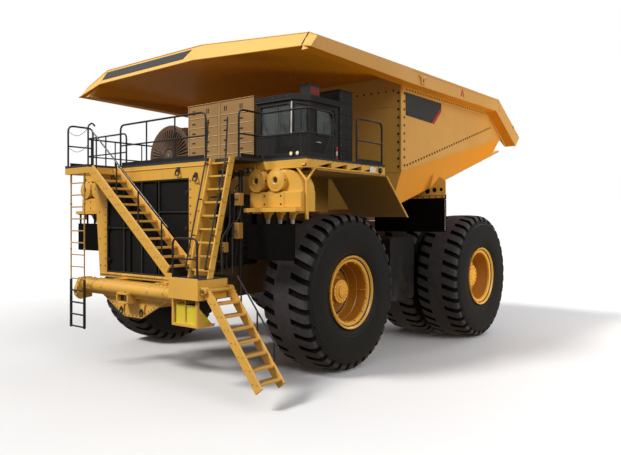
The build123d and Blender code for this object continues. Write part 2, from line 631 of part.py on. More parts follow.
# ---------------------------------------------------------------- air cleaners
cleaner_front_y = front_axle_y - 2450
cleaner_shelf_z = 4060
cleaner_left_x = (2830, -4420)      # low X edge of each cleaner
cleaner_wide = 1600
with BuildPart() as air_cleaners:
    for low_x in cleaner_left_x:
        block((low_x, low_x + cleaner_wide), (cleaner_front_y, cleaner_front_y + 480), (4130, 4520))
        for drum_offset in (250, 860):
            bar((low_x + drum_offset, cleaner_front_y - 20, 4780),
                (low_x + drum_offset, cleaner_front_y + 480, 4780), 262)
        # Quarter-round housing beside the drums
        with BuildSketch(Plane.XZ.offset(-(cleaner_front_y + 470))) as quarter:
            with BuildLine():
                Polyline((low_x + 900, 5000), (low_x + 900, 4500), (low_x + cleaner_wide - 10, 4500),
                         (low_x + cleaner_wide - 10, 4560))
                ThreePointArc((low_x + cleaner_wide - 10, 4560), (low_x + 1440, 4860), (low_x + 900, 5000))
            make_face()
        extrude(quarter.sketch, amount=410)
        block((low_x, low_x + cleaner_wide), (cleaner_front_y - 210, cleaner_front_y + 480),
              (cleaner_shelf_z, 4130))
        for valve in range(3):
            valve_x = low_x + 400 + valve * 380
            with BuildSketch(Plane(origin=(valve_x, cleaner_front_y + 200, cleaner_shelf_z), z_dir=(0, 0, -1))):
                Circle(130)
            with BuildSketch(Plane(origin=(valve_x, cleaner_front_y + 200, cleaner_shelf_z - 180),
                                   z_dir=(0, 0, -1))):
                Circle(50)
            loft()
save(air_cleaners, "air_cleaners")

front_flap_top = 3760
with BuildPart() as front_mud_flaps:
    for low_x in cleaner_left_x:
        block((low_x + 100, low_x + 1550), (cleaner_front_y - 200, cleaner_front_y - 170), (2950, front_flap_top))
        for strap_x in (210, 590, 970, 1350):
            block((low_x + strap_x - 30, low_x + strap_x + 30), (cleaner_front_y - 200, cleaner_front_y - 170),
                  (front_flap_top, cleaner_shelf_z))
save(front_mud_flaps, "front_mud_flaps")

# ---------------------------------------------------------------- stairs and ladders
def flight(head, foot, width_y, treads, string_depth=240, string_thick=50, tread_depth=230):
    """A straight flight running along X, from its (x, z) head to its foot, between two Y places."""
    run = Vector(foot[0] - head[0], 0, foot[1] - head[1])
    along = run.normalized()
    up = Vector(-along.Z, 0, along.X)
    if up.Z < 0:
        up = -up
    for low_y in (width_y[0], width_y[1] - string_thick):
        corners = [Vector(head[0], 0, head[1]), Vector(foot[0], 0, foot[1])]
        string = [corners[0] + up * string_depth / 2, corners[1] + up * string_depth / 2,
                  corners[1] - up * string_depth / 2, corners[0] - up * string_depth / 2]
        plate_xz([(p.X, p.Z) for p in string], low_y, low_y + string_thick)
    for step in range(treads):
        share = (step + 0.5) / treads
        tread_x = head[0] + run.X * share
        tread_z = head[1] + run.Z * share
        block((tread_x - tread_depth / 2, tread_x + tread_depth / 2),
              (width_y[0] + string_thick, width_y[1] - string_thick), (tread_z - 20, tread_z + 20))


def flight_rail(head, foot, rail_y, height, posts, rail_r, base_drop=60):
    """A bar parallel to a flight, from its (x, z) head to its foot, on upright posts."""
    run = Vector(foot[0] - head[0], 0, foot[1] - head[1])
    bar((head[0], rail_y, head[1] + height), (foot[0], rail_y, foot[1] + height), rail_r)
    for post in range(posts):
        share = (post + 0.25) / (posts - 0.5)
        post_x = head[0] + run.X * share
        post_z = head[1] + run.Z * share
        bar((post_x, rail_y, post_z - base_drop), (post_x, rail_y, post_z + height), rail_r)


stair_head = (landing_x[1] + 110, 5170)
stair_foot = (1960, 2700)
stair_rail_height = 1000
stair_rail_r = 19
with BuildPart() as front_stair:
    flight(stair_head, stair_foot, stair_y, 12)
    flight_rail(stair_head, stair_foot, stair_y[0] + 25, stair_rail_height, 4, stair_rail_r)
    # Hanger plates against the landing's frame, and feet on the platform
    for low_y in (stair_y[0], stair_y[1] - 50):
        block((landing_x[1], stair_head[0] + 40), (low_y, low_y + 50), (beam_top_z - 150, beam_top_z - 10))
        block((stair_foot[0] - 60, platform_x[0] + 60), (low_y, low_y + 50), (platform_z[1], platform_z[1] + 110))
save(front_stair, "front_stair")

# Steep ladder from the bumper platform to the deck beside the cab
ladder_foot = (front_axle_y - 3900, platform_z[1])
ladder_head = (front_axle_y - 3220, deck_top)
grab_out = 200
grab_above = 900
grab_r = 18
with BuildPart() as deck_ladder:
    for low_x in (ladder_x[0], ladder_x[1] - 50):
        plate_yz([(ladder_foot[0] - 70, ladder_foot[1]), (ladder_foot[0] + 70, ladder_foot[1]),
                  (ladder_head[0] + 70, ladder_head[1]), (ladder_head[0] - 80, ladder_head[1])],
                 low_x, low_x + 50)
    for rung in range(9):
        share = (rung + 0.6) / 9
        rung_y = ladder_foot[0] + (ladder_head[0] - ladder_foot[0]) * share
        rung_z = ladder_foot[1] + (ladder_head[1] - ladder_foot[1]) * share
        block((ladder_x[0] + 50, ladder_x[1] - 50), (rung_y - 45, rung_y + 45), (rung_z - 18, rung_z + 18))
    # Grab rails that stand off the strings and loop over at the deck
    for grab_x in (ladder_x[0] + 25, ladder_x[1] - 25):
        low_y = ladder_foot[0] + 0.08 * (ladder_head[0] - ladder_foot[0]) - grab_out
        low_z = ladder_foot[1] + 0.08 * (ladder_head[1] - ladder_foot[1])
        top_y = ladder_head[0] - grab_out
        top_z = ladder_head[1] + grab_above
        bar((grab_x, low_y, low_z), (grab_x, top_y, ladder_head[1]), grab_r)
        bar((grab_x, top_y, ladder_head[1]), (grab_x, top_y + 60, top_z), grab_r)
        bar((grab_x, low_y, low_z), (grab_x, low_y + grab_out, low_z + 12), grab_r)
        for share in (0.35, 0.65, 0.95):
            stay_y = ladder_foot[0] + (ladder_head[0] - ladder_foot[0]) * share
            stay_z = ladder_foot[1] + (ladder_head[1] - ladder_foot[1]) * share
            bar((grab_x, stay_y - grab_out, stay_z), (grab_x, stay_y, stay_z), grab_r - 3)
save(deck_ladder, "deck_ladder")

escape_x = (-2120, -1440)
escape_y = landing_front_y + 40
with BuildPart() as escape_ladder:
    for low_x in (escape_x[0], escape_x[1] - 40):
        block((low_x, low_x + 40), (escape_y - 35, escape_y + 35), (1020, beam_top_z - 160))
    for rung in range(13):
        rung_z = 1060 + rung * 315
        block((escape_x[0] + 40, escape_x[1] - 40), (escape_y - 20, escape_y + 20), (rung_z - 15, rung_z + 15))
save(escape_ladder, "escape_ladder")

# Swinging access stair below the bumper platform
access_foot = (4720, 420)
access_rail_height = 620
with BuildPart() as access_stair:
    flight((hinge_x + 130, hinge_z - 140), access_foot, access_y, 7, string_depth=210)
    flight_rail((hinge_x + 260, hinge_z - 314), (access_foot[0] - 90, access_foot[1] + 120), access_y[1] - 25,
                access_rail_height, 3, stair_rail_r)
    for low_y in (access_y[0], access_y[1] - 50):
        bar((hinge_x, low_y, hinge_z), (hinge_x, low_y + 50, hinge_z), 80)
        block((hinge_x, hinge_x + 200), (low_y, low_y + 50), (hinge_z - 180, hinge_z))
    bar((hinge_x, access_y[0] - 10, hinge_z), (hinge_x, access_y[1] + 10, hinge_z),
        hinge_pin_r + running_gap, mode=Mode.SUBTRACT)
save(access_stair, "access_stair")

# ---------------------------------------------------------------- handrails
rail_radius = 20
post_radius = 26
rail_height = 1100


def guard_rail(corners, post_step=1100):
    """A deck guard: two level rails with posts, along straight stretches between (x, y) corners."""
    for (x_a, y_a), (x_b, y_b) in zip(corners, corners[1:]):
        for height in (rail_height / 2, rail_height):
            bar((x_a, y_a, deck_top + height), (x_b, y_b, deck_top + height), rail_radius)
        length = math.hypot(x_b - x_a, y_b - y_a)
        count = max(1, round(length / post_step))
        for post in range(count + 1):
            share = post / count
            spot = (x_a + (x_b - x_a) * share, y_a + (y_b - y_a) * share)
            bar((*spot, deck_top), (*spot, deck_top + rail_height + post_radius), post_radius)


rail_inset = 60
platform_rail_height = 900
guard_routes = (
    [(-deck_half + rail_inset, deck_rear_y - rail_inset), (-deck_half + rail_inset, deck_wing_front_y + rail_inset),
     (-post_outer_top - rail_inset, deck_wing_front_y + rail_inset)],
    [(-1150, grille_front_y + rail_inset), (post_outer_top - 60, grille_front_y + rail_inset)],
    [(ladder_x[1] + 60, front_axle_y - 3090), (ladder_x[1] + 60, deck_wing_front_y + rail_inset),
     (deck_half - rail_inset, deck_wing_front_y + rail_inset), (deck_half - rail_inset, front_axle_y - 1300)],
    [(deck_half - rail_inset, front_axle_y - 320), (deck_half - rail_inset, deck_rear_y - rail_inset)],
    [(landing_x[0] + 50, grille_front_y - 60), (landing_x[0] + 50, landing_front_y + 60)],
)
with BuildPart() as deck_handrails:
    for route in guard_routes:
        guard_rail(route)
    # Low rail on the bumper platform
    rail_y = platform_y[0] + 40
    rail_ends = (platform_x[0] + 100, platform_x[1] - 60)
    for post_x in rail_ends:
        bar((post_x, rail_y, platform_z[1]), (post_x, rail_y, platform_z[1] + platform_rail_height + post_radius),
            post_radius)
    for height in (platform_rail_height / 2, platform_rail_height):
        bar((rail_ends[0], rail_y, platform_z[1] + height), (rail_ends[1], rail_y, platform_z[1] + height),
            rail_radius)
save(deck_handrails, "deck_handrails")

# ---------------------------------------------------------------- dump body
def floor_under(y):
    """Height of the floor's underside at a place along the bed."""
    return bed_floor_front_z + bed_floor_slope * (y - bed_front_y)


floor_rear_y = rear_axle_y + 3020
side_low_front = 5210
side_low_rear_y = rear_axle_y + 2290
side_low_rear_z = 6800
beam_front_y = bed_front_y + 500
frame_top_z = pivot_z + 340
bed_beam_low = frame_top_z + rest_gap
lug_y = rear_axle_y - 2300
lug_z = 4250
flap_y = rear_axle_y - 2280        # mud flap ahead of the rear wheels
flap_inner_x = 1900
flap_outer_x = 4470
flap_top_z = 4620
carrier_inner_x = 2900
carrier_holes = ((3860, 4760, 85), (4100, 4790, 75), (4330, 4800, 55))      # X, Z, radius
liner_margin = 160
liner_thick = 25

with BuildPart() as bed_floor:
    plate_yz([(bed_front_y + bed_wall, floor_under(bed_front_y + bed_wall)),
              (floor_rear_y, floor_under(floor_rear_y)),
              (floor_rear_y, floor_under(floor_rear_y) + bed_floor_plate),
              (bed_front_y + bed_wall, floor_under(bed_front_y + bed_wall) + bed_floor_plate)],
             -floor_half, floor_half)
    # Wear liner, standing proud of the floor plate and clear of the walls round it
    liner_y = (bed_front_y + bed_wall + liner_margin, floor_rear_y - liner_margin)
    plate_yz([(liner_y[0], floor_under(liner_y[0]) + bed_floor_plate - 5),
              (liner_y[1], floor_under(liner_y[1]) + bed_floor_plate - 5),
              (liner_y[1], floor_under(liner_y[1]) + bed_floor_plate + liner_thick),
              (liner_y[0], floor_under(liner_y[0]) + bed_floor_plate + liner_thick)],
             liner_margin - floor_half, floor_half - liner_margin)
save(bed_floor, "bed_floor")

with BuildPart() as bed_beams:
    for side_name, side in sides:
        low_x = side * frame_rail_x - frame_rail_width / 2 + 30
        plate_yz([(beam_front_y, floor_under(beam_front_y)), (beam_front_y, bed_beam_low),
                  (pivot_y + 420, bed_beam_low), (pivot_y + 900, floor_under(pivot_y + 900))],
                 low_x, low_x + frame_rail_width - 60)
        for plate_x in (side * (frame_inner - side_gap - 30), side * (frame_half + side_gap + 30)):
            plate_yz([(pivot_y - 300, bed_beam_low + 60), (pivot_y - 300, bed_beam_low),
                      (pivot_y - 160, pivot_z - 200), (pivot_y + 160, pivot_z - 200),
                      (pivot_y + 300, bed_beam_low), (pivot_y + 300, bed_beam_low + 60)],
                     plate_x - 30, plate_x + 30)
            disc_x(plate_x - 40, plate_x + 40, pivot_y, pivot_z, pivot_pin_r + running_gap, mode=Mode.SUBTRACT)
        # Slotted lug for the hoist's upper eye
        for plate_x in (side * hoist_x - hoist_eye_half - 90, side * hoist_x + hoist_eye_half + 50):
            plate_yz([(lug_y - 260, floor_under(lug_y - 260)), (lug_y - 150, lug_z - 120),
                      (lug_y + 150, lug_z - 120), (lug_y + 260, floor_under(lug_y + 260))],
                     plate_x, plate_x + 40)
        # Carrier of the rear mud flap, lightened by three round holes that shrink outward
        plate_yz([(flap_y - 40, flap_top_z), (flap_y, flap_top_z), (flap_y, floor_under(flap_y)),
                  (flap_y - 40, floor_under(flap_y - 40))], *sorted((side * carrier_inner_x, side * floor_half)))
        wing = [(3600, flap_top_z), (flap_outer_x, flap_top_z), (flap_outer_x, 5060), (4280, 5200), (3970, 4850)]
        plate_xz([(side * x, z) for x, z in wing], flap_y - 40, flap_y)
        for hole_x, hole_z, hole_radius in carrier_holes:
            with BuildSketch(Plane(origin=(side * hole_x, flap_y, hole_z), z_dir=(0, -1, 0))) as hole:
                Circle(hole_radius)
            extrude(hole.sketch, amount=60, both=True, mode=Mode.SUBTRACT)
save(bed_beams, "bed_beams")

# Headboard: upright plate between the sides, narrowing with the floor's edges
with BuildPart() as bed_headboard:
    plate_xz([(-floor_half, bed_floor_front_z), (floor_half, bed_floor_front_z), (bed_half, side_low_front),
              (bed_half, bed_top_z - rail_depth), (-bed_half, bed_top_z - rail_depth), (-bed_half, side_low_front)],
             bed_front_y, bed_front_y + bed_wall)
save(bed_headboard, "bed_headboard")

# Each side: outer wall, the sloped strip down to the floor, and the box rail along the top
rail_under = bed_top_z - rail_depth
side_rear_top = (rear_axle_y + 1090, rail_under)
tail_inner = (rear_axle_y + 2800, 6600)
for side_name, side in sides:
    with BuildPart() as bed_side:
        outer = sorted((side * bed_half, side * (bed_half - bed_wall)))
        plate_yz([(bed_front_y + bed_wall, side_low_front + 17), (bed_front_y + bed_wall, rail_under),
                  side_rear_top, tail_inner, (side_low_rear_y, side_low_rear_z)], *outer)
        rail = sorted((side * (bed_half - bed_wall), side * bed_rail_half))
        plate_yz([(bed_front_y + bed_wall, rail_under), (bed_front_y + bed_wall, bed_top_z),
                  (bed_corner_y, bed_top_z), (bed_tail_y, bed_tail_z), (tail_inner[0] + 60, tail_inner[1] - 30),
                  tail_inner, side_rear_top], *rail)
        # Sloped strip from the wall's lower edge to the floor
        for_front = bed_front_y + bed_wall
        strip_ends = ((for_front, side_low_front + 17), (side_low_rear_y, side_low_rear_z))
        sections = []
        for end_y, wall_z in strip_ends:
            floor_z = floor_under(end_y)
            with BuildSketch(Plane.XZ.offset(-end_y)) as section:
                with BuildLine():
                    Polyline((side * bed_half, wall_z), (side * floor_half, floor_z),
                             (side * floor_half, floor_z + bed_floor_plate),
                             (side * (bed_half - bed_wall), wall_z + 40), close=True)
                make_face()
            sections.append(section.sketch)
        loft(sections)
    save(bed_side, f"bed_side_{side_name}")

# Canopy: roof plate over the cab, a leaning fascia across its front, and side rails
fascia_stations = (      # X, top (y, z), bottom (y, z): right end, right, middle, left, left end
    (-bed_rail_half, (-2144, 8030), (-2416, 7710)),
    (-3870, (-1900, 8555), (-2200, 8050)),
    (500, (-1900, 8585), (-2200, 8100)),
    (4220, (-1900, 8230), (-2200, 7840)),
    (bed_rail_half, (-2144, 8030), (-2416, 7710)),
)
fascia_thick = 110
with BuildPart() as bed_canopy:
    for near, far in zip(fascia_stations, fascia_stations[1:]):
        ends = []
        for station_x, top, low in (near, far):
            with BuildSketch(Plane.YZ.offset(station_x)) as section:
                with BuildLine():
                    Polyline((front_axle_y + top[0], top[1]), (front_axle_y + low[0], low[1]),
                             (front_axle_y + low[0] + fascia_thick, low[1]),
                             (front_axle_y + top[0] + fascia_thick, top[1]), close=True)
                make_face()
            ends.append(section.sketch)
        loft(ends)
    # Roof plate: flat at the headboard, folded at the fascia
    roof_front_y = front_axle_y - 2200 + fascia_thick + 60
    roof_points = ((-bed_half, 7740, 7900), (-3870, 8040, 7900), (500, 8095, 7900), (bed_half, 7820, 7900))
    for near, far in zip(roof_points, roof_points[1:]):
        ends = []
        for station_x, front_z, rear_z in (near, far):
            with BuildSketch(Plane.YZ.offset(station_x)) as section:
                with BuildLine():
                    Polyline((roof_front_y - 120, front_z + 20), (bed_front_y, rear_z),
                             (bed_front_y, rear_z + 50), (roof_front_y - 120, front_z + 70), close=True)
                make_face()
            ends.append(section.sketch)
        loft(ends)
    block((-bed_half, bed_half), (bed_front_y, bed_front_y + bed_wall), (rail_under, 7950))
    for side_name, side in sides:
        rail = sorted((side * bed_half, side * bed_rail_half))
        plate_yz([(front_axle_y - 2416 + fascia_thick, 7710), (bed_front_y + bed_wall, rail_under),
                  (bed_front_y + bed_wall, bed_top_z), (front_axle_y - 2144, bed_top_z - 10)], *rail)
save(bed_canopy, "bed_canopy")

with BuildPart() as rear_mud_flaps:
    for side_name, side in sides:
        block(sorted((side * flap_inner_x, side * flap_outer_x)), (flap_y, flap_y + 30), (3500, flap_top_z + 45))
        block(sorted((side * flap_inner_x, side * carrier_inner_x)), (flap_y, flap_y + 30),
              (flap_top_z, floor_under(flap_y)))
save(rear_mud_flaps, "rear_mud_flaps")

# Hoist: two-stage cylinders from the frame to the lugs under the bed
for side_name, side in sides:
    base = Vector(side * hoist_x, *hoist_base)
    eye = Vector(side * hoist_x, lug_y, lug_z)
    run = (eye - base).normalized()
    length = (eye - base).length
    with BuildPart() as hoist_barrel:
        bar(base, base + run * (length - 330), 210)
        disc_x(side * hoist_x - hoist_eye_half, side * hoist_x + hoist_eye_half, *hoist_base, 150)
        bar(base + run * 300, base + run * length, 170 + curved_gap, mode=Mode.SUBTRACT)
        disc_x(side * hoist_x - 230, side * hoist_x + 230, *hoist_base, hoist_pin_r + running_gap,
               mode=Mode.SUBTRACT)
    save(hoist_barrel, f"hoist_barrel_{side_name}")
    with BuildPart() as hoist_stage:
        bar(base + run * 320, base + run * (length - 280), 170)
        bar(base + run * 340, base + run * length, 120 + curved_gap, mode=Mode.SUBTRACT)
    save(hoist_stage, f"hoist_stage_{side_name}")
    with BuildPart() as hoist_rod:
        bar(base + run * 360, base + run * (length - 100), 120)
        disc_x(side * hoist_x - hoist_eye_half, side * hoist_x + hoist_eye_half, lug_y, lug_z, 160)
        bar(eye, eye - run * 200, 119)
    save(hoist_rod, f"hoist_rod_{side_name}")
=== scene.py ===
import json
import math

import bmesh
import bpy
from mathutils import Matrix, Vector
from mathutils.bvhtree import BVHTree


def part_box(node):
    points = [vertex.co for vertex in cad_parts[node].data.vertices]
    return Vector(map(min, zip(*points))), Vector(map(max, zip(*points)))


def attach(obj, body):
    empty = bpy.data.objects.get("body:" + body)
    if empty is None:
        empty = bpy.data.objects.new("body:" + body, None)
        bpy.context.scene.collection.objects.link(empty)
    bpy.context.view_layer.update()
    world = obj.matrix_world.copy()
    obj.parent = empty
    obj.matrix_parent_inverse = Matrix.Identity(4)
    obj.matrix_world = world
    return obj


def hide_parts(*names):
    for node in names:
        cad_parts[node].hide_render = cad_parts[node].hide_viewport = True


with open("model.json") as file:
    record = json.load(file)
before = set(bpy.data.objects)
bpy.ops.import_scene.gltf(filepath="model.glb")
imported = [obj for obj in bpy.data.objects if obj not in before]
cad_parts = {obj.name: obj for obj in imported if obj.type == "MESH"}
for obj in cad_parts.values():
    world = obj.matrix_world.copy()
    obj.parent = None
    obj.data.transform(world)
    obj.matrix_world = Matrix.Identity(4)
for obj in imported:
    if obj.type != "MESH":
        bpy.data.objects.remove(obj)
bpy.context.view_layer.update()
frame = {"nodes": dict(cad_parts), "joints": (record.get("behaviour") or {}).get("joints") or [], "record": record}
jointAt = {j["name"]: Vector(j.get("pos_m", (0, 0, 0))) for j in frame["joints"]}
sides = (("left", 1), ("right", -1))
print("stage: frame loaded")


# Small helpers for node trees
def setSockets(node, **values):
    for key, value in values.items():
        node.inputs[key.replace("_", " ")].default_value = value


def addNode(tree, kind, settings=None, **values):
    made = tree.nodes.new(kind)
    for key, value in (settings or {}).items():
        setattr(made, key, value)
    setSockets(made, **values)
    return made


def join(tree, source, output, target, socket):
    tree.links.new(source.outputs[output], target.inputs[socket])


def mixColours(tree, factor, first, second):
    # factor and the colours are either numbers or (node, output) pairs
    mix = tree.nodes.new("ShaderNodeMix")
    mix.data_type = "RGBA"
    for index, value in ((0, factor), (6, first), (7, second)):
        if isinstance(value, tuple) and hasattr(value[0], "outputs"):
            tree.links.new(value[0].outputs[value[1]], mix.inputs[index])
        else:
            mix.inputs[index].default_value = value
    return mix


def rgb(red, green, blue):
    return (red, green, blue, 1)


def blankMaterial(name):
    made = bpy.data.materials.new(name)
    made.use_nodes = True
    tree = made.node_tree
    return made, tree, tree.nodes["Principled BSDF"], addNode(tree, "ShaderNodeTexCoord")


def noiseAt(tree, coords, scale, detail=4.0, rough=0.55, stretch=None):
    noise = addNode(tree, "ShaderNodeTexNoise", Scale=scale, Detail=detail, Roughness=rough)
    if stretch:
        mapping = addNode(tree, "ShaderNodeMapping", Scale=stretch)
        join(tree, coords, "Object", mapping, "Vector")
        join(tree, mapping, "Vector", noise, "Vector")
    else:
        join(tree, coords, "Object", noise, "Vector")
    return noise


def rampFrom(tree, source, output, stops):
    ramp = addNode(tree, "ShaderNodeValToRGB")
    join(tree, source, output, ramp, "Fac")
    ramp.color_ramp.elements[0].position, ramp.color_ramp.elements[0].color = stops[0]
    ramp.color_ramp.elements[1].position, ramp.color_ramp.elements[1].color = stops[-1]
    for place, colour in stops[1:-1]:
        ramp.color_ramp.elements.new(place).color = colour
    return ramp


def rangeFrom(tree, source, output, low, high, newLow, newHigh):
    spread = addNode(tree, "ShaderNodeMapRange")
    for index, value in zip((1, 2, 3, 4), (low, high, newLow, newHigh)):
        spread.inputs[index].default_value = value
    join(tree, source, output, spread, "Value")
    return spread


def combine(tree, how, first, firstOutput, second, secondOutput):
    both = addNode(tree, "ShaderNodeMath", {"operation": how})
    join(tree, first, firstOutput, both, 0)
    join(tree, second, secondOutput, both, 1)
    return both


def crossedBands(tree, coords, scale, how):
    # Bands across and bands upward, met as a weave or as a mesh of wires
    bands = []
    for direction in ("X", "Z"):
        settings = {"wave_type": "BANDS", "bands_direction": direction}
        bands.append(addNode(tree, "ShaderNodeTexWave", settings, Scale=scale))
        join(tree, coords, "Object", bands[-1], "Vector")
    return combine(tree, how, bands[0], "Fac", bands[1], "Fac")


def glossFrom(tree, source, shader, low, high):
    gloss = rangeFrom(tree, source, "Fac", 0.3, 0.7, low, high)
    join(tree, gloss, "Result", shader, "Roughness")


def bumpFrom(tree, source, output, shader, strength, distance, rounded=None):
    bump = addNode(tree, "ShaderNodeBump", Strength=strength, Distance=distance)
    join(tree, source, output, bump, "Height")
    if rounded:
        join(tree, rounded, "Normal", bump, "Normal")
    join(tree, bump, "Normal", shader, "Normal")


def steelPaint(name, look):
    # Sprayed steel: slow colour drift, road dust low down, paler edges that are partly wear and partly painted
    # highlight, a fine orange peel
    made, tree, shader, coords = blankMaterial(name)
    drift = noiseAt(tree, coords, look["driftScale"])
    tone = rampFrom(tree, drift, "Fac", [(0.3, rgb(*look["dark"])), (0.7, rgb(*look["base"]))])
    streaks = noiseAt(tree, coords, 3.0, 5.0, 0.6, (3.0, 3.0, 0.35))
    streakMask = rangeFrom(tree, streaks, "Fac", 0.56, 0.78, 0.0, look["streaks"])
    streaked = mixColours(tree, (streakMask, "Result"), (tone, "Color"), rgb(*look["grime"]))
    place = addNode(tree, "ShaderNodeSeparateXYZ")
    join(tree, coords, "Object", place, "Vector")
    dustBreak = noiseAt(tree, coords, 2.2, 6.0, 0.65)
    low = rangeFrom(tree, place, "Z", 3.4, 0.6, 0.0, 1.0)
    dustFine = rangeFrom(tree, dustBreak, "Fac", 0.42, 0.72, 0.0, look["dust"])
    dustMask = combine(tree, "MULTIPLY", low, "Result", dustFine, "Result")
    dusty = mixColours(tree, (dustMask, "Value"), (streaked, 2), rgb(0.3, 0.22, 0.14))
    rounded = addNode(tree, "ShaderNodeBevel", {"samples": 4}, Radius=look["edge"])
    flat = addNode(tree, "ShaderNodeNewGeometry")
    facing = addNode(tree, "ShaderNodeVectorMath", {"operation": "DOT_PRODUCT"})
    join(tree, rounded, "Normal", facing, 0)
    join(tree, flat, "Normal", facing, 1)
    # Paler edges where the rounded normal turns away from the flat one: partly wear, partly painted highlight
    edgeWearAndHighlightBreak = noiseAt(tree, coords, 9.0, 6.0, 0.7)
    edgeWearAndHighlight = rangeFrom(tree, facing, "Value", 0.995, 0.9, 0.0, look["wear"])
    edgeWearAndHighlightFine = rangeFrom(tree, edgeWearAndHighlightBreak, "Fac", 0.38, 0.6, 0.25, 1.0)
    edgeWearAndHighlightMask = combine(tree, "MULTIPLY", edgeWearAndHighlight, "Result", edgeWearAndHighlightFine, "Result")
    edged = mixColours(tree, (edgeWearAndHighlightMask, "Value"), (dusty, 2), rgb(*look["edgeWearAndHighlight"]))
    if "rail" in look:
        # Hand rails stand off the flight's plane and are sprayed black
        offset = addNode(tree, "ShaderNodeVectorMath", {"operation": "DOT_PRODUCT"})
        join(tree, coords, "Object", offset, 0)
        offset.inputs[1].default_value = look["rail"][:3]
        beyond = addNode(tree, "ShaderNodeMath", {"operation": "GREATER_THAN"})
        join(tree, offset, "Value", beyond, 0)
        beyond.inputs[1].default_value = look["rail"][3]
        edged = mixColours(tree, (beyond, "Value"), (edged, 2), rgb(0.012, 0.012, 0.013))
    if "under" in look:
        # Painted light and shade by facing: faces turned down get a deeper, less glossy orange as painted shade,
        # and faces turned ahead a paler colour as painted light
        turn = addNode(tree, "ShaderNodeSeparateXYZ")
        join(tree, coords, "Normal", turn, "Vector")
        # Painted light on the faces turned ahead
        ahead = rangeFrom(tree, turn, "Y", -0.5, -0.8, 0.0, 1.0)
        edged = mixColours(tree, (ahead, "Result"), (edged, 2), rgb(*look["ahead"]))
        # Painted shade on the faces turned down
        underShadeMask = rangeFrom(tree, turn, "Z", -0.05, -0.5, 0.0, 1.0)
        edged = mixColours(tree, (underShadeMask, "Result"), (edged, 2), rgb(*look["under"]))
        dull = rangeFrom(tree, turn, "Z", -0.05, -0.5, 0.5, 0.1)
        join(tree, dull, "Result", shader, "Specular IOR Level")
    join(tree, edged, 2, shader, "Base Color")
    fine = noiseAt(tree, coords, 26.0, 5.0, 0.6)
    glossFrom(tree, fine, shader, look["rough"] - 0.07, look["rough"] + 0.09)
    peel = noiseAt(tree, coords, 140.0, 2.0, 0.5)
    bumpFrom(tree, peel, "Fac", shader, look["peel"], 0.004, rounded)
    setSockets(shader, Specular_IOR_Level=0.5, Coat_Weight=look["coat"], Coat_Roughness=0.12)
    return made


# Each look's paler edge colour is partly wear and partly painted highlight
yellowLook = {
    "base": (0.74, 0.41, 0.062), "dark": (0.66, 0.35, 0.046), "grime": (0.36, 0.21, 0.07),
    "edgeWearAndHighlight": (0.9, 0.64, 0.27), "driftScale": 0.55, "streaks": 0.18, "dust": 0.42,
    "edge": 0.012, "wear": 0.6, "rough": 0.36, "peel": 0.06, "coat": 0.25,
}
bodyYellow = steelPaint("bodyYellow", yellowLook)
# The bed's paint has painted shade on faces turned down and painted light on faces turned ahead
bedYellow = steelPaint("bedYellow", yellowLook | {
    "base": (0.7, 0.375, 0.092), "dark": (0.61, 0.315, 0.072), "driftScale": 0.35, "streaks": 0.25,
    "rough": 0.44, "coat": 0.1, "edge": 0.016, "under": (0.82, 0.3, 0.012),
    "ahead": (0.78, 0.475, 0.105)})
frameYellow = steelPaint("frameYellow", yellowLook | {
    "base": (0.5, 0.26, 0.05), "dark": (0.36, 0.18, 0.035), "streaks": 0.45, "dust": 0.7, "rough": 0.5,
    "coat": 0.0})
frameBrown = steelPaint("frameBrown", yellowLook | {
    "base": (0.15, 0.08, 0.026), "dark": (0.09, 0.047, 0.016), "grime": (0.08, 0.05, 0.025),
    "edgeWearAndHighlight": (0.4, 0.23, 0.08), "streaks": 0.45, "dust": 0.5, "rough": 0.55, "coat": 0.0})
# Front fenders: the yellow paint darkened to a dark olive, a painted shade for the shadow inside the arches
fenderPaintedShade = steelPaint("fenderPaintedShade", yellowLook | {
    "base": (0.34, 0.19, 0.034), "dark": (0.26, 0.145, 0.025), "streaks": 0.3, "rough": 0.5, "coat": 0.0})
rimYellow = steelPaint("rimYellow", yellowLook | {
    "base": (0.84, 0.43, 0.05), "dark": (0.76, 0.38, 0.04), "dust": 0.15, "rough": 0.3, "edge": 0.008})
# Rim dish: a darker, deeper orange that is painted shade inside the recessed dish
rimDishShade = steelPaint("rimDishShade", yellowLook | {
    "base": (0.46, 0.17, 0.008), "dark": (0.34, 0.125, 0.006), "dust": 0.15, "rough": 0.33, "edge": 0.008})
frontStairPaint = steelPaint("frontStairPaint", yellowLook | {"rail": (0.627, 0, 0.779, 3.49)})
deckLadderPaint = steelPaint("deckLadderPaint", yellowLook | {"rail": (0, -0.971, 0.241, 7.21)})
accessStairPaint = steelPaint("accessStairPaint", yellowLook | {"rail": (0.776, 0, 0.631, 4.06)})
# Control cabinets: a tan darker than the body yellow, partly painted shade from the canopy above
cabinetTanAndShade = steelPaint("cabinetTanAndShade", yellowLook | {
    "base": (0.4, 0.225, 0.076), "dark": (0.3, 0.165, 0.054), "edgeWearAndHighlight": (0.62, 0.42, 0.22), "rough": 0.5,
    "coat": 0.0, "streaks": 0.15})
# Pale colour for the drawer edges: a painted highlight
cabinetEdgeHighlight = steelPaint("cabinetEdgeHighlight", yellowLook | {
    "base": (0.66, 0.46, 0.22), "dark": (0.54, 0.37, 0.17), "rough": 0.5, "coat": 0.0})
drumBrown = steelPaint("drumBrown", yellowLook | {
    "base": (0.13, 0.07, 0.04), "dark": (0.07, 0.04, 0.024), "edgeWearAndHighlight": (0.42, 0.26, 0.14), "rough": 0.5,
    "coat": 0.0, "wear": 0.8})
